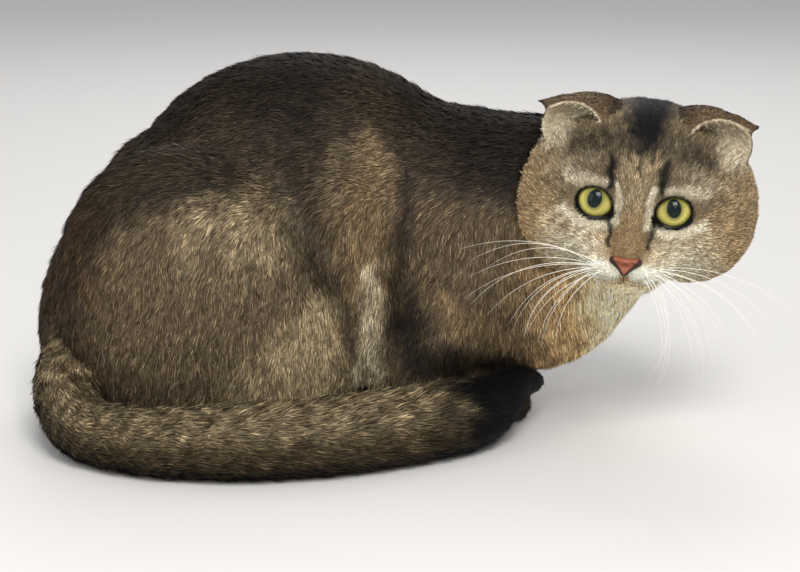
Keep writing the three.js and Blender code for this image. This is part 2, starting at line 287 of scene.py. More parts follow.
@dataclass(frozen=True)
class TailLine:
    """The tail's middle line and its radius along it."""

    points: tuple[tuple[float, float, float], ...] = (
        (-128, 16, 50), (-147, 4, 44), (-158, -16, 38), (-162, -40, 31), (-160, -66, 23),
        (-147, -91, 17), (-120, -109, 16), (-82, -116, 17), (-40, -111, 18.5), (-4, -97, 18.5),
        (28, -77, 18.5), (46, -59, 21.5), (59, -42, 24), (72, -25, 20),
    )
    root: float = 20.5
    slim: float = 16.2
    full: float = 19
    tip: float = 7.5
    slim_at: float = 0.36
    full_at: float = 0.6
    tip_at: float = 0.8
    sides: int = 12
    samples: int = 160
    span_steps: int = 40
    rounded: float = 0.05

    def radius(self, t: Array) -> Array:
        """The radius at shares of the length from the root."""
        base = self.root + (self.slim - self.root) * smooth(t, 0, self.slim_at)
        base = base + (self.full - base) * smooth(t, self.slim_at, self.full_at)
        base = base + (self.tip - base) * smooth(t, self.tip_at, 1)
        end = np.maximum(0, (t - (1 - self.rounded)) / self.rounded)
        return base * np.sqrt(np.maximum(0, 1 - end * end))

    def curve(self) -> Array:
        """Close points on a smooth curve through the tail's points."""
        pts = np.array(self.points, float)
        pts = np.vstack([2 * pts[0] - pts[1], pts, 2 * pts[-1] - pts[-2]])
        dense = []
        for i in range(len(pts) - 3):
            p0, p1, p2, p3 = pts[i : i + 4]
            d0, d1, d2 = (max(np.linalg.norm(gap) ** 0.5, 1e-4) for gap in (p1 - p0, p2 - p1, p3 - p2))
            t1 = ((p1 - p0) / d0 - (p2 - p0) / (d0 + d1) + (p2 - p1) / d1) * d1
            t2 = ((p2 - p1) / d1 - (p3 - p1) / (d1 + d2) + (p3 - p2) / d2) * d1
            s = np.linspace(0, 1, self.span_steps, endpoint=i == len(pts) - 4)[:, None]
            square = (3 * (p2 - p1) - 2 * t1 - t2) * s**2
            cube = (2 * (p1 - p2) + t1 + t2) * s**3
            dense.append(p1 + t1 * s + square + cube)
        return np.vstack(dense)

    def line(self) -> tuple[Array, Array, Array]:
        """The middle line at even steps, lowered onto the floor between the bend and the tip.

        Returns:
            The shares of the length, the points and the directions.
        """
        curve = self.curve()
        run = np.concatenate([[0], np.cumsum(np.linalg.norm(np.diff(curve, axis=0), axis=1))])
        share = np.linspace(0, 1, self.samples)
        middle = np.stack([np.interp(share * run[-1], run, curve[:, k]) for k in range(3)], axis=1)
        lying = smooth(share, 0.26, 0.34) * (1 - smooth(share, 0.8, 0.92))
        rest = self.radius(share) * math.cos(math.pi / self.sides) - 0.1
        middle[:, 2] += (rest - middle[:, 2]) * lying
        return share, middle, unit(np.gradient(middle, axis=0))


@dataclass
class Cat:
    """The cat's form as distance fields, in millimetres, in the frame of the solids' source."""

    head_frame: HeadFrame = HeadFrame()
    tail_line: TailLine = TailLine()
    eye_apart: float = 35.5
    eye_back: float = -26.0
    eye_height: float = -2.1
    eye_radius: float = 10.2
    eye_splay: float = 6.0
    eye_slant: float = 9.0
    lid: float = 1.6
    opening: tuple[float, float] = (8.9, 7.35)
    nose: tuple[float, float, float] = (13.0, -51.0, -26.3)

    def __post_init__(self) -> None:
        """Works out the tail's line and every field."""
        self.share, self.middle, self.heading = self.tail_line.line()
        self.tail_radius = self.tail_line.radius(self.share)
        self.head_local = self._head()
        self.ears = [self._ear(side) for side in SIDES]
        self.body = self._body()
        self.feet = [form for side in SIDES for form in self._feet(side)]

    def eye_middle(self, side: int) -> Array:
        """The middle of an eye in the head's frame."""
        return np.array([side * self.eye_apart / 2, self.eye_back, self.eye_height])

    def gaze(self, side: int) -> Array:
        """The rotation that carries an eye's own frame, looking along -y, into the head's frame."""
        return about(2, self.eye_splay * side) @ about(1, self.eye_slant * -side)

    def in_eye(self, local: Array, side: int) -> Array:
        """Points of the head's frame in one eye's own frame."""
        return (local - self.eye_middle(side)) @ self.gaze(side)

    def from_eye(self, p: Array, side: int) -> Array:
        """Points of one eye's own frame in the head's frame."""
        return p @ self.gaze(side).T + self.eye_middle(side)

    @staticmethod
    def inner_corner(side: int) -> float:
        """The angle at which an eye's inner corner lies, in radians from the eye's own +x."""
        return math.pi if side > 0 else 0.0

    def lid_edge(self, side: int, around: Array) -> Array:
        """The edge of the opening between the lids, drawn out toward the inner corner.

        Args:
            side: -1 for the right eye, 1 for the left.
            around: Angles in radians from the eye's own +x, through +z.

        Returns:
            Its x and z in the eye's own frame at each angle.
        """
        wide, high = self.opening
        off = np.angle(np.exp(1j * (around - self.inner_corner(side) - side * 0.5)))
        reach = 1 + 0.2 * np.exp(-((off / 0.3) ** 2))
        return np.stack([wide * np.cos(around) * reach, high * np.sin(around) * reach], axis=-1)

    def lid_gap(self, inner: Array, side: int) -> Array:
        """How far points of an eye's own frame lie outside its opening, seen from the front."""
        wide, high = self.opening
        around = np.arctan2(inner[..., 2] / high, inner[..., 0] / wide)
        edge = np.linalg.norm(self.lid_edge(side, around), axis=-1)
        return np.hypot(inner[..., 0], inner[..., 2]) - edge

    def _head(self) -> Field:
        """The head's field in its own frame, with lids and open eyes."""
        skull = ellipsoid([0, 6, 6], [52, 45, 40])
        cheeks = [ellipsoid([27.3 * side - 0.8, -2, -9.2 + 1.6 * side], [30.5, 33, 31.5]) for side in SIDES]
        muzzle = ellipsoid([0, -29, -25], [25, 19, 17])
        pads = [ellipsoid(across([9.5, -38, -30], side), [11.5, 10, 7.5]) for side in SIDES]
        chin = ellipsoid([0, -34, -36.5], [10, 9, 6.2])
        bridge = limb([0, -29, 8], [0, -43.5, -21], 9.5, 6.5)
        sockets = [ellipsoid(across([20, -40, -3.5], side), [11, 7, 9.5]) for side in SIDES]
        self.crown = blend(14, skull, *cheeks)
        form = blend(4, blend(9, self.crown, muzzle, bridge), *pads, chin)
        for socket in sockets:
            form = press(6, form, socket)
        lids = [ellipsoid(self.eye_middle(side), [self.eye_radius + self.lid] * 3) for side in SIDES]
        form = blend(3.5, inset(form, 1.3), *[inset(lid, 0.2) for lid in lids])
        for side in SIDES:
            form = press(0.8, form, self._opening(side))
        return form

    def _opening(self, side: int) -> Field:
        """The gap between one eye's lids, in the head's frame."""

        def distance(p: Array) -> Array:
            """Distance from each point to the opening."""
            inner = self.in_eye(p, side)
            return np.maximum(self.lid_gap(inner, side), inner[..., 1] + 2)

        return distance

    def _ear(self, side: int) -> Field:
        """One folded ear in the head's frame: a hood with an open cup."""
        hood = blend(
            5,
            ellipsoid(across([27.5, -3, 29.5], side), [23.5, 20, 17], 5 * side),
            limb(across([42, -5, 38], side), across([52.5, -7.8, 39.3], side), 5, 1.2),
        )
        return press(1.0, inset(hood, 0.7), inset(self.cup(side), 0.3))

    def cup(self, side: int) -> Field:
        """The hollow of one ear in the head's frame."""
        return ellipsoid(across([37.5, -18, 27], side), [18.5, 14, 14.5])

    def hollow(self, local: Array) -> Array:
        """Distance from points of the head's frame to the nearer ear's hollow."""
        return np.min([self.cup(side)(local) for side in SIDES], axis=0)

    def on_face(self, x: Array, z: Array, start: float, rounds: int) -> Array:
        """Where lines straight into the face meet it.

        Args:
            x: Place across in the head's frame.
            z: Height in the head's frame.
            start: The y at which the lines start, ahead of the face.
            rounds: How many steps are made along them.

        Returns:
            The y of each meeting point.
        """
        depth = np.full(len(x), start)
        for _ in range(rounds):
            depth += np.maximum(self.head_local(np.stack([x, depth, z], axis=1)), 0) * 0.8
        return depth

    def _body(self) -> Field:
        """The trunk, neck, haunches and arms in the cat's frame."""
        rump = ellipsoid([-104, 3, 40], [82.5, 60, 88])
        loin = ellipsoid([-48, 3, 103], [92, 58, 80])
        belly = ellipsoid([-45, 0, 55], [100, 56, 48])
        ribs = ellipsoid([20, 0, 88], [78, 53, 62])
        throat = limb([82, -8, 78], [110, -32, 90], 36, 25)
        breast = blend(10, ellipsoid([76, -9, 64], [50, 40, 38], -35), throat)
        nape = limb([52, -2, 102], [90, -12, 112], 50, 43)
        flanks = [limb(sided([-30, 42, 112], side), sided([-4, 44, 36], side), 22, 18) for side in SIDES]
        trunk = blend(12, blend(22, rump, loin, belly, ribs, breast, nape), *flanks)
        haunches = [ellipsoid(sided([-92, 44, 60], side), [72, 44, 88], -30) for side in SIDES]
        arms = [
            blend(
                14,
                ellipsoid(sided([34, 32, 84], side), [34, 26, 50], -8),
                limb(sided([30, 38, 70], side), sided([12, 46, 34], side), 24, 20),
            )
            for side in SIDES
        ]

        def crown(p: Array) -> Array:
            """Distance from each point to the head's crown and cheeks, set in by 1 mm."""
            return self.crown(self.head_frame.inward(p)) + 1

        return blend(9, blend(7, trunk, crown), *haunches, *arms)

    def _feet(self, side: int) -> list[Field]:
        """One side's forepaw, forearm and hind foot."""
        fore = self._paw(side, front=68, out=21, width=27, toe=8.5, height=19, toe_in=1)
        hind = self._paw(side, front=0, out=62, width=29, toe=9, height=20, toe_in=-1)
        return [
            blend(6, fore, limb(sided([50, 20, 10], side), sided([36, 27, 14], side), 11, 11)),
            limb(sided([40, 25, 14], side), sided([8, 44, 26], side), 13.5, 18),
            blend(8, hind, limb(sided([-22, 62, 10], side), sided([-96, 60, 15], side), 12, 14)),
        ]

    @staticmethod
    def _paw(
        side: int, front: float, out: float, width: float, toe: float, height: float, toe_in: float
    ) -> Field:
        """A paw with four toes.

        Args:
            side: -1 for the right, 1 for the left.
            front: How far forward the middle toes reach.
            out: How far from the middle of the cat it lies.
            width: Its width.
            toe: Length of a toe's knuckle.
            height: Its height.
            toe_in: How far the toes are set toward the outside.

        Returns:
            The field of the paw.
        """
        toes = []
        for place in (-1.5, -0.5, 0.5, 1.5):
            middle = [front - toe - abs(place) * 2.2, out + place * width * 0.27 + toe_in, height * 0.44]
            toes.append(ellipsoid(sided(middle, side), [toe, width * 0.16, height * 0.46]))
        ball = ellipsoid(sided([front - toe - 9, out, height * 0.5], side), [15, width * 0.46, height * 0.6])
        return blend(2.5, ball, *toes)

    def tail_at(self, p: Array) -> tuple[Array, Array]:
        """The nearest place on the tail's line.

        Args:
            p: Points of the cat's frame.

        Returns:
            Distance to the tail's surface, and the index of the nearest step of the line.
        """
        distance, nearest = np.full(len(p), 1e3), np.zeros(len(p), int)
        for start in range(0, len(p), BLOCK):
            some = slice(start, start + BLOCK)
            gap = np.linalg.norm(p[some, None] - self.middle[None], axis=2) - self.tail_radius
            nearest[some] = gap.argmin(1)
            distance[some] = gap.min(1)
        return distance, nearest

    def tail(self, p: Array) -> Array:
        """Distance to the tail, worked out only near it."""
        distance = np.full(len(p), 60.0)
        near = (p[:, 0] < 95) & (p[:, 2] < 85) & ((p[:, 1] < -15) | (p[:, 0] < -100))
        distance[near] = self.tail_at(p[near])[0]
        return distance

    def parts(self, p: Array) -> Array:
        """The distance to each part of the bare skin, one row a part.

        Args:
            p: Points of the cat's frame.

        Returns:
            Distances in the order of Part.
        """
        local = self.head_frame.inward(p)
        ears = np.minimum(*[ear(local) for ear in self.ears])
        feet = np.min([foot(p) for foot in self.feet], axis=0)
        body = self.body(p) + 2.4
        # The body's own copy of the crown is kept clear of the eyes
        for side in SIDES:
            body = np.maximum(body, 13 - np.linalg.norm(local - self.eye_middle(side), axis=1))
        return np.array([body, self.head_local(local), self.tail(p) + 2.2, feet + 1.2, ears])

    def skin(self, p: Array) -> Array:
        """Distance to the one skin over all the parts."""
        near, head, tail, feet, ears = self.parts(p)
        for far, width in ((head, 4.0), (feet, 5.0), (tail, 3.0), (ears, 2.0)):
            near = nearer(near, far, width)
        return np.maximum(near, FLOOR - p[:, 2])


@dataclass
class Netting:
    """Turns a distance field into an even closed mesh over a box of steps."""

    x: Array
    y: Array
    z: Array
    block: int = 4

    def sampled(self, form: Field) -> Array:
        """The field at every corner, worked out only near its surface.

        Args:
            form: The field.

        Returns:
            Values on the whole lattice.
        """
        axes = (self.x, self.y, self.z)
        shape = tuple(len(axis) for axis in axes)
        grids = [np.unique(np.append(np.arange(0, n, self.block), n - 1)) for n in shape]
        marks = [axis[grid] for axis, grid in zip(axes, grids)]
        coarse = np.stack(np.meshgrid(*marks, indexing="ij"), axis=-1)
        rough = form(coarse.reshape(-1, 3)).reshape(coarse.shape[:3])
        reach = float(np.linalg.norm([np.diff(mark).max() for mark in marks])) * 0.75
        nearest = [np.abs(np.arange(n)[:, None] - grid[None]).argmin(1) for n, grid in zip(shape, grids)]
        values = rough[np.ix_(*nearest)]
        near = np.abs(values) < reach
        index = np.argwhere(near)
        values[near] = form(np.stack([axis[index[:, k]] for k, axis in enumerate(axes)], axis=1))
        return values

    def mesh(self, form: Field) -> tuple[Array, Array]:
        """The field's zero surface as corner points and quads.

        Args:
            form: The field.

        Returns:
            Points, and four indices a face, turned outward.
        """
        value = self.sampled(form)
        inside = value < 0
        cells = np.zeros(tuple(n - 1 for n in value.shape), int)
        corners = [(i, j, k) for i in (0, 1) for j in (0, 1) for k in (0, 1)]
        cut = [slice(None, -1), slice(1, None)]
        for i, j, k in corners:
            cells += inside[cut[i], cut[j], cut[k]]
        active = np.argwhere((cells > 0) & (cells < 8))
        number = np.full(cells.shape, -1)
        number[tuple(active.T)] = np.arange(len(active))
        total, count = np.zeros((len(active), 3)), np.zeros(len(active))
        axes = (self.x, self.y, self.z)
        for a in corners:
            for axis in range(3):
                if a[axis]:
                    continue
                b = list(a)
                b[axis] = 1
                ia, ib = active + np.array(a), active + np.array(b)
                va, vb = value[tuple(ia.T)], value[tuple(ib.T)]
                crossing = (va < 0) != (vb < 0)
                share = np.where(crossing, va / np.where(crossing, va - vb, 1), 0)[:, None]
                pa = np.stack([axes[k][ia[:, k]] for k in range(3)], axis=1)
                pb = np.stack([axes[k][ib[:, k]] for k in range(3)], axis=1)
                total += np.where(crossing[:, None], pa + (pb - pa) * share, 0)
                count += crossing
        points = total / count[:, None]
        faces = []
        for axis in range(3):
            low = [slice(None)] * 3
            high = [slice(None)] * 3
            low[axis], high[axis] = slice(None, -1), slice(1, None)
            others = [k for k in range(3) if k != axis]
            index = np.argwhere(inside[tuple(low)] != inside[tuple(high)])
            for k in others:
                index = index[(index[:, k] > 0) & (index[:, k] < value.shape[k] - 1)]
            ring = []
            for back in ((1, 1), (0, 1), (0, 0), (1, 0)):
                cell = index.copy()
                cell[:, others] -= np.array(back)
                ring.append(number[tuple(cell.T)])
            quad = np.stack(ring, axis=1)
            flip = inside[tuple(index.T)] == (axis == 1)
            quad[flip] = quad[flip][:, ::-1]
            faces.append(quad)
        return points, np.vstack(faces)


def gradient(form: Field, p: Array, step: float = 0.25) -> Array:
    """The unit direction in which a field grows.

    Args:
        form: The field.
        p: Points.
        step: Half the distance over which it is measured.

    Returns:
        One unit vector a point.
    """
    rows = []
    for axis in range(3):
        move = np.zeros(3)
        move[axis] = step
        rows.append(form(p + move) - form(p - move))
    return unit(np.stack(rows, axis=1))


def settled(form: Field, p: Array, rounds: int = 2) -> Array:
    """Points moved onto a field's zero surface."""
    for _ in range(rounds):
        p = p - gradient(form, p) * form(p)[:, None] * 0.9
    return p


# Markings


def shade(red: int, green: int, blue: int) -> Tone:
    """A linear colour from its values on a screen, 0 to 255."""
    return tuple(min((value / 255) ** 2.2, 0.9) for value in (red, green, blue))


@dataclass(frozen=True)
class Tones:
    """The colours of the coat, linear."""

    black: Tone = shade(7, 5, 4)
    dark: Tone = shade(27, 22, 17)
    back: Tone = shade(50, 42, 33)
    rump: Tone = shade(56, 43, 30)
    flank: Tone = shade(84, 72, 56)
    thigh: Tone = shade(87, 75, 58)
    pale: Tone = shade(148, 131, 101)
    band: Tone = shade(106, 89, 66)
    knee: Tone = shade(180, 166, 136)
    chest: Tone = shade(186, 153, 107)
    throat: Tone = shade(255, 224, 174)
    tail: Tone = shade(68, 58, 42)
    crown: Tone = shade(98, 86, 67)
    forehead: Tone = shade(128, 112, 86)
    cheek: Tone = shade(156, 132, 97)
    ring: Tone = shade(208, 196, 168)
    bridge: Tone = shade(124, 101, 73)
    white: Tone = shade(250, 240, 216)
    ear: Tone = shade(96, 79, 60)
    cup: Tone = shade(188, 174, 146)
    rim: Tone = shade(222, 202, 170)


@dataclass(frozen=True)
class Stroke:
    """A soft stroke of one tone along a line of places and half widths, seen square on."""

    tone: Tone
    line: tuple[tuple[float, float, float], ...]
    edge: float
    amount: float
    fleck: float = 0.0


# Height of the dark back's lower edge at places along the cat
BACK_EDGE = (
    (-175, 56), (-150, 88), (-130, 110), (-82, 128), (-60, 123), (-40, 112),
    (-28, 132), (-10, 146), (5, 127), (30, 117), (60, 106), (92, 104),
)

TONE = Tones()

# Pale hair on the thigh and in front of it, under the dark back
FLANK_STROKES = (
    Stroke(TONE.pale, ((-34, 72, 8), (-44, 48, 18), (-56, 26, 22)), 0.8, 1.0, 1.0),
    Stroke(TONE.pale, ((-58, 106, 12), (-84, 112, 16)), 0.9, 0.48, 1.0),
    Stroke(TONE.band, ((-12, 140, 8), (-14, 120, 12), (-17, 95, 11), (-15, 70, 8)), 0.8, 0.9, 1.0),
    Stroke(TONE.knee, ((-14, 88, 3), (-14, 70, 5), (-13, 50, 7), (-13, 26, 9)), 0.9, 0.65, 0.5),
)
# Painted shade in the folds in front of the thigh and behind the arm
FOLD_SHADE_STROKES = (
    Stroke(TONE.dark, ((-56, 123, 3), (-46, 110, 8), (-36, 93, 8), (-28, 72, 6.5), (-22, 48, 4)), 1.0, 0.68),
    Stroke(TONE.dark, ((6, 128, 4), (0, 104, 6), (-2, 82, 6), (2, 62, 8)), 1.0, 0.75),
)
# Painted shadow under the elbow, between the arm and the tail
ELBOW_SHADE_STROKES = (Stroke(TONE.dark, ((6, 62, 8), (12, 50, 11), (26, 42, 10)), 0.8, 0.95),)
ARM_STROKES = (Stroke(TONE.chest, ((26, 70, 4), (36, 58, 5), (50, 48, 6)), 1.0, 0.15),)

# Down the middle of the forehead
FOREHEAD_STROKES = (Stroke(TONE.forehead, ((0, 14, 8), (0, 4, 8), (0, -8, 6)), 0.7, 1.0),)
# Pale brows, and above them out toward the ears
BROW_STROKES = (
    Stroke(TONE.ring, ((12.5, 7.0, 1.0), (20, 8.0, 1.7), (30, 6.8, 3.0)), 1.0, 0.55),
    Stroke(TONE.ring, ((20, 17, 2), (29, 15, 3.5), (41, 9, 3)), 0.9, 0.084, 0.042),
)
# Round the eyes: the line out from the corner, dusk over the brow, ashen cheek, pale lower lid and corner
EYE_STROKES = (
    Stroke(TONE.crown, ((28, 3, 1.2), (35, 4.5, 1.8), (43, 3, 2)), 0.8, 0.5),
    Stroke(TONE.dark, ((4, 28, 8), (18, 25, 6), (30, 22, 5)), 0.7, 0.58, 0.15),
    Stroke(TONE.ring, ((32, -17, 8), (15, -21, 5)), 0.9, 0.36, 0.12),
    Stroke(TONE.ring, ((9.5, -11.8, 1.6), (16, -12.8, 2.3), (24, -11.4, 2.4), (31, -8, 2.3)), 0.8, 0.95),
    Stroke(TONE.ring, ((8.6, 7, 1.4), (7.0, 0, 1.9), (7.2, -10, 1.8)), 0.5, 0.85),
)
BRIDGE_STROKES = (Stroke(TONE.bridge, ((0, -10, 4.5), (0, -20, 8.4)), 0.35, 0.9),)
CROWN_STROKES = (Stroke(TONE.black, ((1.5, 56, 12), (1.5, 42, 11), (1, 33, 8), (0.5, 25, 4)), 0.55, 1.0),)
# Three dark streaks down from the crown
STREAK_STROKES = (
    Stroke(TONE.dark, ((-0.6, 27, 1.95), (0.4, 11, 0.78)), 1.0, 0.75),
    Stroke(TONE.dark, ((-5.2, 27, 1.5), (-4.6, 17, 0.6)), 1.0, 0.75),
    Stroke(TONE.dark, ((5.6, 26, 1.5), (5.2, 17, 0.6)), 1.0, 0.75),
)
# Bars over the inner corners, tear lines beside the nose, white whisker pads
MUZZLE_STROKES = (
    Stroke(TONE.black, ((12.2, 18.5, 1.4), (11.6, 14, 2.9), (11.6, 9, 2.3), (12.2, 5.5, 1.0)), 0.8, 0.95),
    Stroke(TONE.black, ((10.2, -8.5, 1.5), (9.2, -14, 1.1), (8.6, -20, 0.9)), 0.6, 0.85),
    Stroke(TONE.white, ((5, -31, 3.8), (11, -31.5, 4.6), (19, -32, 3.4)), 0.45, 1.0),
)
# The rows of dark spots that the whiskers grow from
WHISKER_STROKES = (Stroke(TONE.dark, ((11, -27.6, 0.8), (26, -28.4, 0.7)), 0.7, 0.6),)


class Markings:
    """The colour of the coat at any place, with painted shade and painted light in it, the same for skin and
    coat.
    """

    def __init__(self, cat: Cat) -> None:
        """Keeps the cat's form."""
        self.cat = cat

    @staticmethod
    def over(colour: Array, tone: Sequence[float], mask: Array) -> Array:
        """A colour with a tone laid over it through a mask."""
        return colour + (np.array(tone) - colour) * np.clip(mask, 0, 1)[:, None]

    @staticmethod
    def spot(p: Array, middle: Sequence[float], radii: Sequence[float], edge: float = 0.5) -> Array:
        """A soft spot: 1 within, 0 outside.

        Args:
            p: Points, of as many coordinates as the middle.
            middle: Its middle.
            radii: Its radii.
            edge: Share of the radius over which it fades.

        Returns:
            The mask.
        """
        off = np.linalg.norm((p - np.array(middle, float)) / np.array(radii, float), axis=1)
        return 1 - smooth(off, 1 - edge, 1 + edge)

    @staticmethod
    def stroke(p: Array, line: Sequence[Sequence[float]], edge: float = 0.5) -> Array:
        """A soft stroke along a line.

        Args:
            p: Points of two coordinates.
            line: Two coordinates and the stroke's half width at each of its points.
            edge: Share of the half width over which it fades.

        Returns:
            The mask.
        """
        knots = np.array(line, float)
        off = np.full(len(p), 9.0)
        for first, last in zip(knots[:-1], knots[1:]):
            way = last[:2] - first[:2]
            share = np.clip((p - first[:2]) @ way / (way @ way), 0, 1)
            gap = np.linalg.norm(p - first[:2] - share[:, None] * way, axis=1)
            off = np.minimum(off, gap / (first[2] + (last[2] - first[2]) * share))
        return 1 - smooth(off, 1 - edge, 1 + edge)

    def stroked(
        self, colour: Array, p: Array, strokes: Sequence[Stroke], fleck: Array, by: Array | float = 1.0
    ) -> Array:
        """A colour with strokes laid over it in turn.

        Args:
            colour: The colour at each point.
            p: Points of two coordinates.
            strokes: The strokes.
            fleck: A random value at each point, which makes a stroke uneven.
            by: A mask over all the strokes.

        Returns:
            The new colour at each point.
        """
        for stroke in strokes:
            mask = self.stroke(p, stroke.line, stroke.edge) * (stroke.amount + stroke.fleck * fleck)
            colour = self.over(colour, stroke.tone, mask * by)
        return colour

    def body(self, p: Array) -> Array:
        """The colour of the trunk, neck and legs, with painted shade in the folds, at the elbows, on the nape
        and near the floor.
        """
        x, y, z = p.T
        wander, fleck = ripple(p, 28, 3), ripple(p, 7, 4)
        plan = np.stack([x + wander * 4 + fleck * 1.5, z + ripple(p, 26, 13) * 4 + fleck], axis=1)
        colour = np.tile(np.array(TONE.flank), (len(p), 1))
        turn = math.radians(30)
        along = (x + 92) * math.cos(turn) + (z - 60) * math.sin(turn)
        over = (z - 60) * math.cos(turn) - (x + 92) * math.sin(turn)
        thigh = 1 - smooth(np.hypot(along / 72, over / 88) + wander * 0.02, 0.84, 1.0)
        colour = self.over(colour, TONE.thigh, thigh)
        hair = fleck * 0.25 + ripple(p, 3, 14) * 0.2
        colour = self.stroked(colour, plan, FLANK_STROKES, hair)
        edge = np.interp(x, *zip(*BACK_EDGE))
        back = smooth(z + wander * 5 + fleck * 3, edge - 4, edge + 12)
        spine = smooth(z + wander * 4 + fleck * 2, edge + 16, edge + 44)
        # The nape is dark fur, with painted shade from the head in it
        nape = smooth(x, 10, 40) * smooth(z + fleck * 3, edge + 2, edge + 24)
        colour = self.over(colour, TONE.back, back)
        colour = self.over(colour, TONE.dark, spine * 0.8)
        colour = self.over(colour, TONE.dark, nape * 0.85)
        colour = self.over(colour, TONE.rump, smooth(-x + wander * 6, 126, 168) * 0.85)
        # Painted shade in the folds in front of the thigh and behind the arm
        colour = self.stroked(colour, plan, FOLD_SHADE_STROKES, fleck)
        # Painted shadow under the elbow
        colour = self.stroked(colour, plan, ELBOW_SHADE_STROKES, fleck, np.abs(y) > 22)
        chest = smooth(x + fleck * 2 + wander * 4, 48, 88) * smooth(-z, -120, -92)
        colour = self.over(colour, TONE.chest, chest * (0.85 + 0.15 * np.sign(fleck)))
        colour = self.stroked(colour, plan, ARM_STROKES, fleck)
        throat = smooth(x + z * 0.25 + fleck * 2, 98, 118) * smooth(-z, -104, -86)
        colour = self.over(colour, TONE.throat, throat)
        # Painted shade low at the front, under the chest and over the forepaws
        colour = self.over(colour, TONE.dark, smooth(-z, -34, -16) * smooth(x, 20, 40) * 0.8)
        # Painted shade along the bottom, near the floor
        return self.over(colour, TONE.dark, smooth(-z, -22, -6) * 0.5)

    def head(self, p: Array) -> Array:
        """The colour of the head, with painted shade on the outer edges of the face."""
        local = self.cat.head_frame.inward(p)
        wander, fleck = ripple(local, 11, 5), ripple(local, 3.5, 6)
        x, y, z = local.T
        x = x + fleck * 0.5
        z = z + fleck * 0.5
        side = np.abs(x)
        flat, mirror = np.stack([x, z], axis=1), np.stack([side, z], axis=1)
        front = smooth(-y, 5, 15)
        colour = np.tile(np.array(TONE.crown), (len(p), 1))
        low = np.maximum(smooth(side - z * 0.7 + wander * 4, 20, 52), smooth(-z + wander * 3, 8, 26))
        colour = self.over(colour, TONE.cheek, low)
        colour = self.stroked(colour, flat, FOREHEAD_STROKES, fleck, front)
        # Painted shade on the outer edges of the face, where it turns away
        colour = self.over(colour, TONE.crown, smooth(side, 34, 46) * smooth(z, -20, -6) * 0.3)
        colour = self.stroked(colour, mirror, BROW_STROKES, fleck, front)
        hollow = self.spot(mirror, [43, 27], [9, 9], 0.5) * (y < 8)
        colour = self.over(colour, TONE.cup, hollow * (0.75 + 0.2 * fleck))
        colour = self.stroked(colour, mirror, EYE_STROKES, fleck, front)
        colour = self.stroked(colour, flat, BRIDGE_STROKES, fleck, front)
        colour = self.stroked(colour, flat + fleck[:, None] * 0.8, CROWN_STROKES, fleck)
        colour = self.stroked(colour, flat, STREAK_STROKES, fleck, front)
        colour = self.stroked(colour, mirror, MUZZLE_STROKES, fleck, front)
        spots = smooth(np.sin(side * 2.4), -0.3, 0.5)
        colour = self.stroked(colour, mirror, WHISKER_STROKES, fleck, spots * front)
        colour = self.over(colour, TONE.throat, smooth(-z, 35, 39) * smooth(-side, -24, -12) * front)
        colour = self.over(colour, TONE.ring, self.spot(mirror, [26, -28], [14, 8], 0.7) * 0.7 * front)
        gaps = [self.cat.lid_gap(self.cat.in_eye(local, eye), eye) for eye in SIDES]
        below = smooth(-local[:, 2], -1, 7) * 0.9
        liner = 1 - smooth(np.min(gaps, axis=0) - below, 0.1, 0.7)
        colour = self.over(colour, TONE.black, liner * front)
        return self.over(colour, TONE.dark, smooth(y + z * 0.3, 20, 34) * 0.9)

    def ear(self, p: Array) -> Array:
        """The colour of the ears: brown backs, pale rims and hollows, dark tips."""
        local = self.cat.head_frame.inward(p)
        hollow = self.cat.hollow(local)
        mirror = mirrored(local)
        colour = np.tile(np.array(TONE.ear), (len(p), 1))
        colour = self.over(colour, TONE.black, self.spot(mirror[:, [0, 2]], [10, 44], [9, 12], 0.5) * 0.6)
        colour = self.over(colour, TONE.rim, (1 - smooth(hollow, 0.3, 1.2)) * (local[:, 1] < 2))
        colour = self.over(colour, TONE.cup, 1 - smooth(hollow, -0.2, 0.4))
        shadow = smooth(local[:, 2], 30, 39) * (1 - smooth(hollow, -0.6, 0.0))
        colour = self.over(colour, TONE.ear, shadow * 0.45)
        return self.over(colour, TONE.black, self.spot(mirror, [56, -5, 40], [6, 9, 4.5], 0.5) * 0.9)

    def tail(self, p: Array) -> Array:
        """The colour of the tail, with painted light on its top and painted shade under it."""
        _, step = self.cat.tail_at(p)
        along = self.cat.share[step]
        above = (p[:, 2] - self.cat.middle[step, 2]) / self.cat.tail_radius[step].clip(1)
        colour = np.tile(np.array(TONE.tail), (len(p), 1))
        # Painted light on the top of the tail, made uneven like the hair
        colour = self.over(colour, TONE.pale, smooth(above, -0.1, 0.5) * (0.32 + 0.2 * ripple(p, 5, 15)))
        colour = self.over(colour, TONE.dark, smooth(ripple(p, 4.5, 8), 0.0, 1.0) * 0.3)
        # Painted shade on the underside of the tail
        colour = self.over(colour, TONE.dark, smooth(-above, 0.2, 0.7) * 0.85)
        tip = smooth(along + ripple(p, 6, 9) * 0.02, 0.73, 0.83)
        return self.over(colour, TONE.black, tip)

    def colour(self, p: Array, part: Array) -> Array:
        """The colour at points whose part is known.

        Args:
            p: Points of the cat's frame.
            part: The value of Part at each.

        Returns:
            Linear colours.
        """
        colour = self.body(p)
        for which, paint in ((Part.HEAD, self.head), (Part.EAR, self.ear), (Part.TAIL, self.tail)):
            chosen = part == which.value
            if chosen.any():
                colour[chosen] = paint(p[chosen])
        return colour


# Meshes


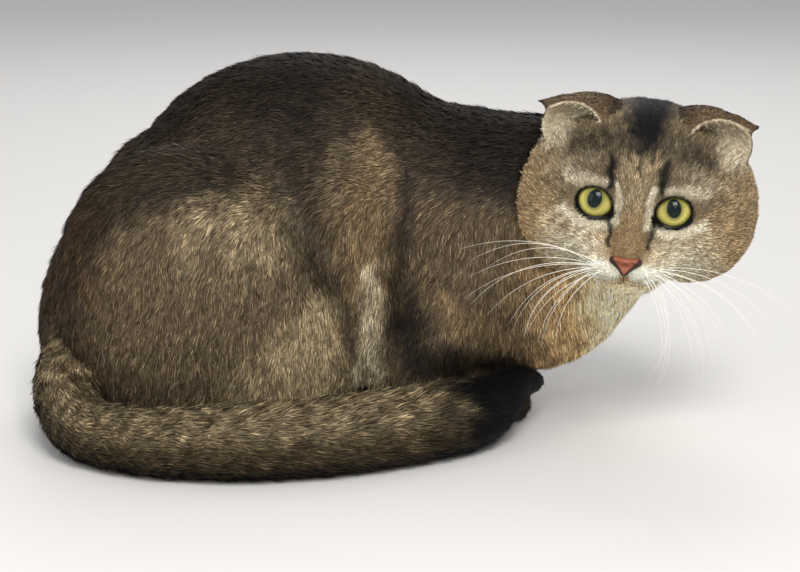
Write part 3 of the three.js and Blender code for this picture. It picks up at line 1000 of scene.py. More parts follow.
class Studio:
    """Places meshes in the row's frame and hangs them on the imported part."""

    def __init__(self, cat: Cat) -> None:
        """Finds how far the row's frame is from the source's, from the left eye's box."""
        low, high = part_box("eye_left")
        known = cat.head_frame.outward(np.array(cat.eye_middle(1)))
        self.shift = known - np.array((low + high) / 2) / MM

    def points(self, p: Array) -> Array:
        """Points of the cat's frame as metres of the row's frame."""
        return (p - self.shift) * MM

    def piece(
        self,
        name: str,
        p: Array,
        faces: Array,
        material: bpy.types.Material,
        slot: Slot,
        replaces: Sequence[str] = (),
        colours: Array | None = None,
        uv: Array | None = None,
        normals: Array | None = None,
    ) -> bpy.types.Object:
        """Makes one mesh object that rides on the part.

        Args:
            name: Its name.
            p: Its points in millimetres.
            faces: Three or four indices a face.
            material: Its finish.
            slot: The record's slot of that finish; not used.
            replaces: The CAD nodes that it stands for.
            colours: A colour a point, kept as the attribute coat.
            uv: Coordinates a corner, kept as the map OFBake.
            normals: The direction each point is shaded in, where it isn't its faces' own.

        Returns:
            The object.
        """
        mesh = bpy.data.meshes.new(name)
        sides = faces.shape[1]
        mesh.vertices.add(len(p))
        mesh.vertices.foreach_set("co", self.points(p).astype(np.float32).ravel())
        mesh.loops.add(faces.size)
        mesh.loops.foreach_set("vertex_index", faces.astype(np.int32).ravel())
        mesh.polygons.add(len(faces))
        mesh.polygons.foreach_set("loop_start", np.arange(0, faces.size, sides, dtype=np.int32))
        mesh.polygons.foreach_set("loop_total", np.full(len(faces), sides, dtype=np.int32))
        mesh.update(calc_edges=True)
        mesh.validate()
        mesh.polygons.foreach_set("use_smooth", np.full(len(mesh.polygons), True))
        if normals is not None:
            layer = mesh.attributes.new("custom_normal", "FLOAT_VECTOR", "POINT")
            layer.data.foreach_set("vector", normals.astype(np.float32).ravel())
            mesh.update()
        if colours is not None:
            layer = mesh.color_attributes.new("coat", "FLOAT_COLOR", "POINT")
            rgba = np.concatenate([colours, np.ones((len(colours), 1))], axis=1)
            layer.data.foreach_set("color", rgba.astype(np.float32).ravel())
        if uv is not None:
            mesh.uv_layers.new(name="OFBake").data.foreach_set("uv", uv.astype(np.float32).ravel())
        mesh.materials.append(material)
        thing = bpy.data.objects.new(name, mesh)
        bpy.context.scene.collection.objects.link(thing)
        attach(thing, "root")
        if replaces:
            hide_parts(*replaces)
        log.info("%s: %d faces", name, len(faces))
        return thing


class Unwrap:
    """Lays the skin out flat, each part seen square on from six sides."""

    margin: float = 6.0
    width: float = 940.0

    def __init__(self, p: Array, part: Array, facing: Array) -> None:
        """Packs one sheet for each part and side.

        Args:
            p: A point of each face.
            part: The part of each face.
            facing: The side that each face looks to, 0 to 5.
        """
        self.places: dict[tuple[int, int], tuple[Array, Array]] = {}
        sheets = []
        for key in sorted({(int(a), int(b)) for a, b in zip(part, facing)}):
            chosen = (part == key[0]) & (facing == key[1])
            flat = self.flat(p[chosen], key[1])
            sheets.append((key, flat.min(0), flat.max(0) - flat.min(0)))
        sheets.sort(key=lambda sheet: -sheet[2][1])
        x, y, row = 0.0, 0.0, 0.0
        for key, low, size in sheets:
            if x + size[0] > self.width:
                x, y, row = 0.0, y + row + self.margin, 0.0
            self.places[key] = (low, np.array([x, y]))
            x += size[0] + self.margin
            row = max(row, size[1])
        self.scale = 0.98 / max(self.width + self.margin, y + row)

    @staticmethod
    def flat(p: Array, facing: int) -> Array:
        """Points without the coordinate along which they are seen."""
        keep = [k for k in range(3) if k != facing // 2]
        return p[..., keep]

    @staticmethod
    def side(normal: Array) -> Array:
        """The side, 0 to 5, that each normal looks to."""
        axis = np.abs(normal).argmax(1)
        return axis * 2 + (normal[np.arange(len(normal)), axis] < 0)

    def at(self, p: Array, part: Array, facing: Array) -> Array:
        """Map coordinates of points.

        Args:
            p: Points, with any number of rows a face.
            part: The part of each face.
            facing: The side of each face.

        Returns:
            Coordinates from 0 to 1.
        """
        out = np.zeros(p.shape[:-1] + (2,))
        for key, (low, corner) in self.places.items():
            chosen = (part == key[0]) & (facing == key[1])
            if chosen.any():
                out[chosen] = (self.flat(p[chosen], key[1]) - low + corner) * self.scale + 0.01
        return out


# Finishes


def node_group(name: str, takes: Sequence[tuple], gives: Sequence[tuple]) -> bpy.types.NodeTree:
    """An empty shader node group.

    Args:
        name: Its name.
        takes: Name, socket type and value of each input.
        gives: Name and socket type of each output.

    Returns:
        The group.
    """
    tree = bpy.data.node_groups.new(name, "ShaderNodeTree")
    for label, kind, value in takes:
        socket = tree.interface.new_socket(label, in_out="INPUT", socket_type=kind)
        socket.default_value = value
    for label, kind in gives:
        tree.interface.new_socket(label, in_out="OUTPUT", socket_type=kind)
    return tree


def with_inputs(node: bpy.types.Node, values: dict[str, object]) -> bpy.types.Node:
    """A node, with values given to some of its sockets."""
    for label, value in values.items():
        node.inputs[label].default_value = value
    return node


def coat_grain() -> bpy.types.NodeTree:
    """The fine light and dark of hair, and its height."""
    tree = node_group(
        "coat_grain",
        [
            ("Colour", "NodeSocketColor", (0.2, 0.15, 0.1, 1)),
            ("Size", "NodeSocketFloat", 900.0),
            ("Depth", "NodeSocketFloat", 0.3),
        ],
        [("Colour", "NodeSocketColor"), ("Height", "NodeSocketFloat")],
    )
    nodes, links = tree.nodes, tree.links
    takes, gives = nodes.new("NodeGroupInput"), nodes.new("NodeGroupOutput")
    place = nodes.new("ShaderNodeTexCoord")
    noise = with_inputs(nodes.new("ShaderNodeTexNoise"), {"Detail": 3})
    links.new(place.outputs["Object"], noise.inputs["Vector"])
    links.new(takes.outputs["Size"], noise.inputs["Scale"])
    ends = {"From Min": 0.3, "From Max": 0.7, "To Min": -1, "To Max": 1}
    spread = with_inputs(nodes.new("ShaderNodeMapRange"), ends)
    links.new(noise.outputs["Fac"], spread.inputs["Value"])
    scaled = nodes.new("ShaderNodeMath")
    scaled.operation = "MULTIPLY_ADD"
    links.new(spread.outputs["Result"], scaled.inputs[0])
    links.new(takes.outputs["Depth"], scaled.inputs[1])
    scaled.inputs[2].default_value = 1
    tint = nodes.new("ShaderNodeVectorMath")
    tint.operation = "SCALE"
    links.new(takes.outputs["Colour"], tint.inputs[0])
    links.new(scaled.outputs[0], tint.inputs["Scale"])
    links.new(tint.outputs[0], gives.inputs["Colour"])
    links.new(noise.outputs["Fac"], gives.inputs["Height"])
    return tree


def new_material(name: str, values: dict[str, object]) -> bpy.types.Material:
    """A material, with values given to its shader's sockets."""
    material = bpy.data.materials.new(name)
    material.use_nodes = True
    with_inputs(material.node_tree.nodes["Principled BSDF"], values)
    return material


def coat_colour(material: bpy.types.Material, target: bpy.types.NodeSocket) -> None:
    """Leads the coat attribute's colour into a socket of a material."""
    tree = material.node_tree
    colour = tree.nodes.new("ShaderNodeAttribute")
    colour.attribute_name = "coat"
    tree.links.new(colour.outputs["Color"], target)


def grained(
    material: bpy.types.Material,
    grain: bpy.types.NodeTree,
    values: dict[str, float],
    bump: float,
    height: float,
) -> bpy.types.Node:
    """Adds the grain to a material and bumps its surface with it.

    Args:
        material: The material.
        grain: The shared grain group.
        values: Values of the group's sockets.
        bump: Strength of the bump.
        height: Its height in metres.

    Returns:
        The grain's node.
    """
    nodes, links = material.node_tree.nodes, material.node_tree.links
    group = nodes.new("ShaderNodeGroup")
    group.node_tree = grain
    with_inputs(group, values)
    raised = with_inputs(nodes.new("ShaderNodeBump"), {"Strength": bump, "Distance": height})
    links.new(group.outputs["Height"], raised.inputs["Height"])
    links.new(raised.outputs["Normal"], nodes["Principled BSDF"].inputs["Normal"])
    return group


@dataclass(frozen=True)
class CoatFinish:
    """Hair: the coat attribute's colour with a fine grain, and a soft sheen."""

    name: str
    roughness: float = 0.6
    specular: float = 0.12
    sheen: float = 0.02
    sheen_roughness: float = 0.4
    grain: float = 900.0
    depth: float = 0.18
    bump: float = 0.25
    bump_height: float = 0.0006

    def build(self, grain: bpy.types.NodeTree) -> bpy.types.Material:
        """Makes the material.

        Args:
            grain: The shared grain group.

        Returns:
            The material.
        """
        values = {
            "Roughness": self.roughness,
            "Specular IOR Level": self.specular,
            "Sheen Weight": self.sheen,
            "Sheen Roughness": self.sheen_roughness,
        }
        material = new_material(self.name, values)
        sizes = {"Size": self.grain, "Depth": self.depth}
        group = grained(material, grain, sizes, self.bump, self.bump_height)
        coat_colour(material, group.inputs["Colour"])
        shader = material.node_tree.nodes["Principled BSDF"]
        material.node_tree.links.new(group.outputs["Colour"], shader.inputs["Base Color"])
        return material


@dataclass(frozen=True)
class PlainFinish:
    """A finish whose colour comes from the coat attribute, or is even."""

    name: str
    colour: Tone | None
    roughness: float
    specular: float = 0.3
    coat: float = 0.0
    coat_roughness: float = 0.03
    bump: float = 0.0
    bump_height: float = 0.0004
    size: float = 1200.0

    def build(self, grain: bpy.types.NodeTree) -> bpy.types.Material:
        """Makes the material.

        Args:
            grain: The shared grain group, used for the bump.

        Returns:
            The material.
        """
        values = {
            "Roughness": self.roughness,
            "Specular IOR Level": self.specular,
            "Coat Weight": self.coat,
            "Coat Roughness": self.coat_roughness,
        }
        material = new_material(self.name, values)
        base = material.node_tree.nodes["Principled BSDF"].inputs["Base Color"]
        if self.colour is None:
            coat_colour(material, base)
        else:
            base.default_value = (*self.colour, 1)
        if self.bump:
            grained(material, grain, {"Size": self.size}, self.bump, self.bump_height)
        return material


# Skin and coat


LIMBS = ("thigh", "hind_foot", "upper_arm", "forearm", "forepaw", "ear")
FLESH = (
    "head", "neck", "chest", "loin", "rump",
    *(f"tail_{i}" for i in range(1, 7)),
    *(f"{part}_{side}" for part in LIMBS for side in ("right", "left")),
)


@dataclass
class Skin:
    """The one skin under the coat."""

    cat: Cat
    markings: Markings
    coarse: float = 2.5
    fine: float = 1.15
    shaded: float = 0.75
    points: Array = field(init=False)
    faces: Array = field(init=False)
    normals: Array = field(init=False)
    part: Array = field(init=False)
    unwrap: Unwrap = field(init=False)

    def _steps(self, low: float, high: float, fine_low: float, fine_high: float) -> Array:
        """Steps along one axis, closer together over the face."""
        spans = (
            (low, fine_low, self.coarse),
            (fine_low, fine_high, self.fine),
            (fine_high, high, self.coarse),
        )
        counts = [max(2, int(round((b - a) / step)) + 1) for a, b, step in spans]
        return np.unique(np.concatenate([np.linspace(a, b, n) for (a, b, _), n in zip(spans, counts)]))

    def shape(self) -> None:
        """Works out the mesh, its normals and the part of each point."""
        netting = Netting(
            self._steps(-189, 178, 56, 176),
            self._steps(-138, 92, -108, -34),
            self._steps(-4, 186, 68, 172),
        )
        points, faces = netting.mesh(self.cat.skin)
        points = settled(self.cat.skin, points)
        points[:, 2] = np.maximum(points[:, 2], FLOOR)
        self.points, self.faces = points, faces
        self.normals = gradient(self.cat.skin, points, 0.4)
        self.part = self.cat.parts(points).argmin(0)

    def build(self, studio: Studio, material: bpy.types.Material) -> bpy.types.Object:
        """Makes the skin's object.

        Args:
            studio: Places it.
            material: Its finish.

        Returns:
            The object.
        """
        part = self.part[self.faces[:, 0]]
        corners = self.points[self.faces]
        facing = Unwrap.side(np.cross(corners[:, 2] - corners[:, 0], corners[:, 3] - corners[:, 1]))
        self.unwrap = Unwrap(corners.reshape(-1, 3), np.repeat(part, 4), np.repeat(facing, 4))
        uv = self.unwrap.at(corners, part, facing).reshape(-1, 2)
        colours = self.markings.colour(self.points, self.part) * self.shaded
        return studio.piece("skin", self.points, self.faces, material, Slot.SIDE, FLESH, colours, uv)


Where = Callable[[Array, Array, Cat], Array]


@dataclass(frozen=True)
class CoatPatch:
    """One piece of the coat: where it grows and how it lies."""

    name: str
    slot: Slot
    count: int
    length: float
    width: float
    lift: float
    where: Where
    dark: float = 0.45
    pale: float = 0.5


class Coat:
    """Lays tufts over the skin along the lie of the coat."""

    # Half the width of one tuft on the map OFBake
    cell: float = 0.0015

    def __init__(self, skin: Skin, cat: Cat, markings: Markings, seed: int = 11) -> None:
        """Splits the skin's faces into triangles and measures them."""
        self.skin, self.cat, self.markings = skin, cat, markings
        self.rng = np.random.default_rng(seed)
        quads = skin.faces
        self.tri = np.vstack([quads[:, [0, 1, 2]], quads[:, [0, 2, 3]]])
        a, b, c = (skin.points[self.tri[:, k]] for k in range(3))
        self.area = np.linalg.norm(np.cross(b - a, c - a), axis=1) / 2
        self.centre = (a + b + c) / 3
        self.part = skin.part[self.tri[:, 0]]
        # No tufts grow on the body where it is hidden inside the face
        local = cat.head_frame.inward(self.centre)
        within = (np.abs(local[:, ::2]) < 32).all(1)
        sunk = (self.part == Part.BODY.value) & (local[:, 1] < -15) & within
        self.area = self.area * ~sunk

    def _head_flow(self, local: Array) -> Array:
        """The lie of the coat on the head: back from the nose, and away from each eye."""
        away = local - np.array([0, -52, -27])
        away[:, 1] *= 0.6
        away = unit(away) + np.array([0, 0.55, 0])
        for side in SIDES:
            off = local - self.cat.eye_middle(side)
            off[:, 1] = 0
            gap = np.maximum(np.linalg.norm(off, axis=1) - 8, 0)
            near = (np.exp(-((gap / 5) ** 2)) * (local[:, 1] < -10))[:, None]
            away = away * (1 - near) + (unit(off) + np.array([0, 0.5, 0])) * near
        return away

    def _ear_flow(self, local: Array) -> Array:
        """The lie of the coat on the ears: outward, and forward over the hollows."""
        hollow = self.cat.hollow(local) < 0.4
        outward = np.sign(local[:, 0])
        away = np.stack([outward * 0.9, np.full(len(local), -0.5), np.full(len(local), 0.1)], axis=1)
        away[hollow] = np.stack([outward[hollow] * 0.8, *np.full((2, hollow.sum()), -0.5)], axis=1)
        return away

    def lie(self, p: Array, part: Array, normal: Array) -> Array:
        """The direction in which the coat lies.

        Args:
            p: Roots.
            part: The part of each root.
            normal: The skin's normal at each root.

        Returns:
            Unit vectors in the skin's plane.
        """
        x, _, z = p.T
        backward = -1 + 0.75 * smooth(-z, -135, -95)
        downward = -0.3 - 1.0 * smooth(-z, -140, -80)
        flow = np.stack([backward, np.zeros(len(p)), downward], axis=1)
        front = smooth(x, 30, 80) * smooth(-z, -130, -80)
        flow += front[:, None] * np.array([0.7, 0, -1.2])
        frame_of_head = self.cat.head_frame
        head, ear = part == Part.HEAD.value, part == Part.EAR.value
        tail, foot = part == Part.TAIL.value, part == Part.FOOT.value
        for chosen, way in ((head, self._head_flow), (ear, self._ear_flow)):
            if chosen.any():
                flow[chosen] = way(frame_of_head.inward(p[chosen])) @ frame_of_head.rotation().T
        if tail.any():
            _, step = self.cat.tail_at(p[tail])
            flow[tail] = self.cat.heading[step]
        flow[foot] = np.array([1.0, 0, -0.4])
        swirl = np.stack([ripple(p, 9, seed) for seed in (21, 22, 23)], axis=1)
        small = np.where(head | foot | ear, 0.1, 0.2)
        flow = unit(flow) + swirl * small[:, None]
        flow -= (flow * normal).sum(1, keepdims=True) * normal
        return unit(flow)

    def patch(self, spec: CoatPatch, studio: Studio, material: bpy.types.Material) -> bpy.types.Object:
        """Makes one piece of the coat.

        Args:
            spec: Where it grows and how.
            studio: Places it.
            material: Its finish.

        Returns:
            The object.
        """
        rng = self.rng
        weight = self.area * spec.where(self.centre, self.part, self.cat)
        chosen = np.sort(rng.choice(len(weight), size=spec.count, p=weight / weight.sum()))
        u, v = rng.random((2, spec.count))
        over = u + v > 1
        u[over], v[over] = 1 - u[over], 1 - v[over]
        tri = self.tri[chosen]

        def mixed(values: Array) -> Array:
            """Values of the skin's points, mixed at each root."""
            first, second, third = (values[tri[:, k]] for k in range(3))
            return first * (1 - u - v)[:, None] + second * u[:, None] + third * v[:, None]

        root, normal, part = mixed(self.skin.points), unit(mixed(self.skin.normals)), self.part[chosen]
        along = self.lie(root, part, normal)
        along = unit(along + rng.normal(scale=0.09, size=along.shape))
        across_way = np.cross(normal, along)
        clump = ripple(root, 4, 31)
        short = self.reach(root, part)
        uneven = (1 + 0.15 * clump + rng.normal(scale=0.2, size=len(root))).clip(0.4, 1.6)
        length = spec.length * short * uneven
        width = spec.width * rng.uniform(0.6, 1.3, len(root)) * np.sqrt(short)
        uneven = (1 + 0.25 * clump + rng.normal(scale=0.25, size=len(root))).clip(0.3, 1.6)
        lift = np.radians(spec.lift) * uneven
        rise, run = np.sin(lift), np.cos(lift)
        roll = rng.normal(scale=0.45, size=len(root))[:, None]
        across_way = across_way * np.cos(roll) + normal * np.sin(roll)

        def at(far: float, up: float, wide: float) -> Array:
            """The point of each tuft at shares of its run, rise and width."""
            ahead = along * (length * run * far)[:, None]
            raised = normal * (length * rise * up)[:, None]
            return root + ahead + raised + across_way * (width * wide)[:, None]

        corners = [at(0, 0, 0) - normal * 0.3, at(0.45, 0.62, -0.5), at(0.45, 0.62, 0.5), at(1, 0.95, 0)]
        points = np.stack(corners, axis=1)
        points[..., 2] = np.maximum(points[..., 2], FLOOR)
        pattern = np.array([[0, 1, 2], [1, 3, 2]])
        faces = (np.arange(len(root))[:, None, None] * 4 + pattern).reshape(-1, 3)
        own = np.cross(along, across_way)
        bent = unit(normal * 0.65 + own * 0.35 + rng.normal(scale=0.08, size=normal.shape))
        colours = self.tinted(spec, root, part, clump)
        spot = self.skin.unwrap.at(root, part, Unwrap.side(normal))
        cell = np.array([[0, -1], [-1, 0], [1, 0], [0, 1]]) * self.cell
        uv = (spot[:, None] + cell)[:, pattern.ravel()].reshape(-1, 2)
        return studio.piece(
            spec.name, points.reshape(-1, 3), faces, material, spec.slot, (), colours.reshape(-1, 3), uv,
            np.repeat(bent, 4, axis=0),
        )

    def reach(self, root: Array, part: Array) -> Array:
        """How long the coat is at each root, as a share of its piece's length."""
        share = np.ones(len(root))
        head, ear = part == Part.HEAD.value, part == Part.EAR.value
        local = self.cat.head_frame.inward(root[head])
        mirror = mirrored(local)
        near_eye = Markings.spot(mirror, [17.75, -36, -2], [14, 14, 13], 0.4)
        near_nose = Markings.spot(mirror, [0, -46, -24], [13, 14, 14], 0.4)
        rear = smooth(local[:, 1], -20, 25)
        share[head] = (0.8 + 0.4 * rear) * (1 - 0.55 * near_eye) * (1 - 0.6 * near_nose)
        local = self.cat.head_frame.inward(root[ear])
        edge = smooth(np.abs(self.cat.hollow(local) - 0.6), 0.6, 2.5)
        tip = smooth(np.abs(local[:, 0]), 44, 52)
        share[ear] = (0.35 + 0.65 * edge) * (1 - 0.7 * tip)
        tail = part == Part.TAIL.value
        _, step = self.cat.tail_at(root[tail])
        share[tail] = 1 - 0.55 * smooth(self.cat.share[step], 0.86, 1.0)
        return share

    def tinted(self, spec: CoatPatch, root: Array, part: Array, clump: Array) -> Array:
        """The colours of each tuft from root to tip.

        Args:
            spec: The piece of the coat.
            root: Roots.
            part: The part of each.
            clump: The clumping at each.

        Returns:
            Four colours a tuft.
        """
        base = self.markings.colour(root, part)
        draw = self.rng.random(len(root))
        tick = ripple(root, 2.4, 41) * 0.3 + self.rng.normal(scale=0.75, size=len(root))
        strand = np.exp(0.6 * tick + 0.08 * clump).clip(0.22, 3.2)
        tip = np.where(draw < 0.35, 1 - spec.dark, np.where(draw > 0.55, 1 + spec.pale, 1.0))
        tones = [base * (strand * gain)[:, None] for gain in (0.5, 1.0, 1.0, tip)]
        return np.stack(tones, axis=1).clip(0.001, 0.95)


def where_head(p: Array, part: Array, cat: Cat) -> Array:
    """Grows on the head, closer over the face."""
    local = cat.head_frame.inward(p)
    clear = np.ones(len(p))
    for side in SIDES:
        inner = cat.in_eye(local, side)
        open_eye = np.hypot(inner[:, 0] / 10.1, (inner[:, 2] + 0.3) / 8.6) < 1
        clear *= 1 - open_eye * (inner[:, 1] < -2)
    _, front, height = cat.nose
    clear *= 1 - Markings.spot(local, [0, front + 1, height - 0.4], [6.4, 6, 4.6], 0.1)
    return (part == Part.HEAD.value) * clear * (0.7 + 1.1 * smooth(-local[:, 1], -5, 25))


def where_above(kind: Part, low: float, high: float) -> Where:
    """Grows on one part, from nothing at a low height to full at a high one.

    Args:
        kind: The part.
        low: The low height in millimetres.
        high: The high height.

    Returns:
        The weight of each place.
    """

    def weight(p: Array, part: Array, cat: Cat) -> Array:
        """The weight of each place."""
        return (part == kind.value) * smooth(p[:, 2], low, high)

    return weight


def where_side(side: int, front: bool) -> Where:
    """Grows on one flank.

    Args:
        side: -1 for the right, 1 for the left.
        front: Whether it is the half ahead of the loin.

    Returns:
        The weight of each place.
    """

    def weight(p: Array, part: Array, cat: Cat) -> Array:
        """The weight of each place."""
        ahead = smooth(p[:, 0], -38, -30)
        half = ahead if front else 1 - ahead
        flank = smooth(p[:, 1] * side, -2, 6)
        high = 1 - smooth(p[:, 2], 128, 140)
        return (part == Part.BODY.value) * half * flank * high * (0.3 + 0.7 * smooth(p[:, 2], 4, 14))

    return weight


def where_hollow(p: Array, part: Array, cat: Cat) -> Array:
    """Grows in the hollows of the ears."""
    local = cat.head_frame.inward(p)
    on_ear = (part == Part.EAR.value) * (cat.hollow(local) < 0.4)
    beside = Markings.spot(np.abs(local[:, ::2]), [41, 28], [8, 6], 0.3) * (local[:, 2] > 0)
    on_head = (part == Part.HEAD.value) * beside
    return (on_ear + on_head) * (local[:, 1] < 4.0) + TINY


COAT = (
    CoatPatch("coat_back", Slot.BACK, 92000, 5.6, 0.44, 8.5, where_above(Part.BODY, 128, 140), 0.5, 1.0),
    CoatPatch("coat_flank_right_rear", Slot.SIDE, 99000, 5.4, 0.38, 10, where_side(-1, False), 0.6, 1.0),
    CoatPatch("coat_flank_right_front", Slot.CHEST, 97000, 5.4, 0.38, 10, where_side(-1, True), 0.6, 0.8),
    CoatPatch("coat_flank_left_rear", Slot.SIDE, 62000, 6.0, 0.5, 10, where_side(1, False), 0.6, 1.0),
    CoatPatch("coat_flank_left_front", Slot.CHEST, 60000, 6.0, 0.5, 10, where_side(1, True), 0.6, 0.8),
    CoatPatch("coat_face", Slot.FACE, 99000, 3.5, 0.33, 10, where_head, 0.55, 0.7),
    CoatPatch("coat_ears", Slot.EAR, 22000, 2.0, 0.32, 8, where_above(Part.EAR, -2, -1), 0.4, 0.4),
    CoatPatch("coat_ear_hair", Slot.EAR, 1300, 8.5, 0.32, 9, where_hollow, -0.5, 1.0),
    CoatPatch("coat_tail", Slot.TIP, 94000, 5.8, 0.44, 11, where_above(Part.TAIL, -2, -1), 0.6, 1.0),
    CoatPatch("coat_feet", Slot.SIDE, 22000, 2.8, 0.42, 9, where_above(Part.FOOT, 0.5, 3), 0.4, 0.4),
)


# Eyes, nose, mouth and whiskers


def lattice(rows: int, cols: int, closed: bool = False) -> Array:
    """Four-cornered faces over rings of points, joined ring to ring.

    Args:
        rows: How many rings there are.
        cols: How many points each has.
        closed: Whether the last ring is joined to the first.

    Returns:
        Four indices a face.
    """
    i, j = np.meshgrid(np.arange(rows if closed else rows - 1), np.arange(cols), indexing="ij")
    k, nxt = (i + 1) % rows, (j + 1) % cols
    ring = [i * cols + j, i * cols + nxt, k * cols + nxt, k * cols + j]
    return np.stack(ring, axis=-1).reshape(-1, 4)


def side_name(name: str, side: int) -> str:
    """A name with the side added, right for -1 and left for 1."""
    return f"{name}_right" if side < 0 else f"{name}_left"


@dataclass(frozen=True)
class Feature:
    """Something small on the face, with the cat it sits on, the studio that places it and its finish."""

    cat: Cat
    studio: Studio
    material: bpy.types.Material

    def placed(
        self,
        name: str,
        p: Array,
        faces: Array,
        slot: Slot = Slot.FACE,
        replaces: Sequence[str] = (),
        colours: Array | None = None,
    ) -> bpy.types.Object:
        """Makes one mesh object from points of the head's frame.

        Args:
            name: Its name.
            p: Its points.
            faces: Its four-cornered faces.
            slot: The record's slot of its finish.
            replaces: The CAD nodes that it stands for.
            colours: A colour a point.

        Returns:
            The object.
        """
        outward = self.cat.head_frame.outward(p)
        return self.studio.piece(name, outward, faces, self.material, slot, replaces, colours)


@dataclass(frozen=True)
class Eye(Feature):
    """An eyeball with a bulging cornea, an olive iris and a dark oval pupil."""

    iris: float = 8.9
    pupil: tuple[float, float] = (3.5, 4.5)
    rings: int = 64
    around: int = 72
    # Angle from the front, in radians, within which the rings lie closer
    close: float = 1.1
    corner: Tone = (0.05, 0.035, 0.025)
    olive: Tone = (0.4, 0.35, 0.08)
    gold: Tone = (0.64, 0.57, 0.17)
    border: Tone = (0.05, 0.045, 0.012)
    halo: Tone = (0.16, 0.16, 0.04)
    # The pupil's faint blue-green tint is a painted reflection of the sky
    black: Tone = (0.006, 0.011, 0.011)

    def build(self, side: int) -> bpy.types.Object:
        """Makes one eye, -1 for the right and 1 for the left."""
        cat = self.cat
        fore = np.linspace(0, self.close, self.rings * 3 // 4)
        rear = np.linspace(self.close, math.pi, self.rings // 4)[1:]
        angle = np.linspace(0, 2 * math.pi, self.around, endpoint=False)
        a, b = np.meshgrid(np.concatenate([fore, rear]), angle, indexing="ij")
        off = np.sin(a)
        bulge = 0.5 * (1 - smooth(off * cat.eye_radius, 3, 8.6)) * (a < math.pi / 2)
        sphere = np.stack([off * np.cos(b), -np.cos(a), off * np.sin(b)], axis=-1)
        local = sphere * (cat.eye_radius + bulge)[..., None]
        local[..., 1] += 0.1
        points = local.reshape(-1, 3)
        name = side_name("eye", side)
        faces = lattice(*a.shape)[:, ::-1]
        colours = self.painted(points, side)
        return self.placed(f"{name}_ball", cat.from_eye(points, side), faces, Slot.EYE, (name,), colours)

    def painted(self, p: Array, side: int) -> Array:
        """The colours of the eyeball in its own frame, with a painted shadow of the lid on the iris and a
        painted reflection in the pupil.
        """
        x, z = p[:, 0] + side * 0.1, p[:, 2] - 1.7
        out = np.hypot(x, z)
        turn = np.arctan2(z, x)
        colour = np.tile(np.array(self.corner), (len(p), 1))
        within = (1 - smooth(out, self.iris - 0.35, self.iris + 0.15)) * (p[:, 1] < 0)
        streak = 0.5 + 0.5 * np.sin(turn * 31 + 2 * np.sin(turn * 7)) * np.sin(turn * 53 + 1)
        iris = np.array(self.olive) * (0.75 + 0.35 * streak)[:, None]
        iris = Markings.over(iris, self.gold, np.exp(-(((out - 6.4) / 1.3) ** 2)) * 0.6)
        # Painted shadow of the upper lid over the top of the iris
        iris = iris * (0.5 + 0.5 * smooth(-p[:, 2], -6.5, 1))[:, None]
        iris = Markings.over(iris, self.border, smooth(out, self.iris - 0.9, self.iris - 0.1))
        pupil = np.hypot(x / self.pupil[0], z / self.pupil[1])
        iris = Markings.over(iris, self.halo, np.exp(-(((pupil - 1.1) / 0.16) ** 2)) * 0.8)
        # The pupil: near black, with its painted reflection of the sky
        iris = Markings.over(iris, self.black, 1 - smooth(pupil, 0.93, 1.03))
        return Markings.over(colour, (0, 0, 0), within) + iris * within[:, None]


def tube(line: Array, radius: Array, sides: int = 8, closed: bool = False) -> tuple[Array, Array]:
    """A tube along a line.

    Args:
        line: Its middle line.
        radius: Its radius at each point.
        sides: How many sides it has.
        closed: Whether it runs round to its start.

    Returns:
        Points and four-cornered faces.
    """
    if closed:
        way = unit(np.roll(line, -1, axis=0) - np.roll(line, 1, axis=0))
    else:
        way = unit(np.gradient(line, axis=0))
    guide = np.array([0.3, 0.2, 1.0]) if abs(way[:, 2]).mean() < 0.8 else np.array([1.0, 0.2, 0.1])
    side = unit(np.cross(way, guide))
    up = np.cross(side, way)
    angle = np.linspace(0, 2 * math.pi, sides, endpoint=False)
    ring = side[:, None] * np.cos(angle)[None, :, None] + up[:, None] * np.sin(angle)[None, :, None]
    points = line[:, None] + ring * radius[:, None, None]
    return points.reshape(-1, 3), lattice(len(line), sides, closed)


def joined(tubes: Sequence[tuple[Array, Array]]) -> tuple[Array, Array]:
    """The points and faces of several tubes as one mesh."""
    starts = np.cumsum([0] + [len(points) for points, _ in tubes])
    shifted = [faces + start for (_, faces), start in zip(tubes, starts)]
    return np.vstack([points for points, _ in tubes]), np.vstack(shifted)


@dataclass(frozen=True)
class Rim(Feature):
    """The dark bare edge of the lids."""

    thick: float = 0.36
    steps: int = 96
    sides: int = 10

    def build(self, side: int) -> bpy.types.Object:
        """Makes the rim of one eye, -1 for the right and 1 for the left."""
        cat = self.cat
        angle = np.linspace(0, 2 * math.pi, self.steps, endpoint=False)
        edge = cat.lid_edge(side, angle) * 1.025
        out = np.hypot(*edge.T)
        depth = -np.sqrt(np.maximum((cat.eye_radius + cat.lid - 0.5) ** 2 - out**2, 20))
        line = np.stack([edge[:, 0], depth, edge[:, 1]], axis=1)
        inner_low = np.cos(angle - cat.inner_corner(side) - side * 0.9).clip(0, 1)
        grow = self.thick * (1 + 0.9 * inner_low + 0.8 * (-np.sin(angle)).clip(0, 1))
        points, faces = tube(line, grow, self.sides, True)
        return self.placed(side_name("lid_rim", side), cat.from_eye(points, side), faces)


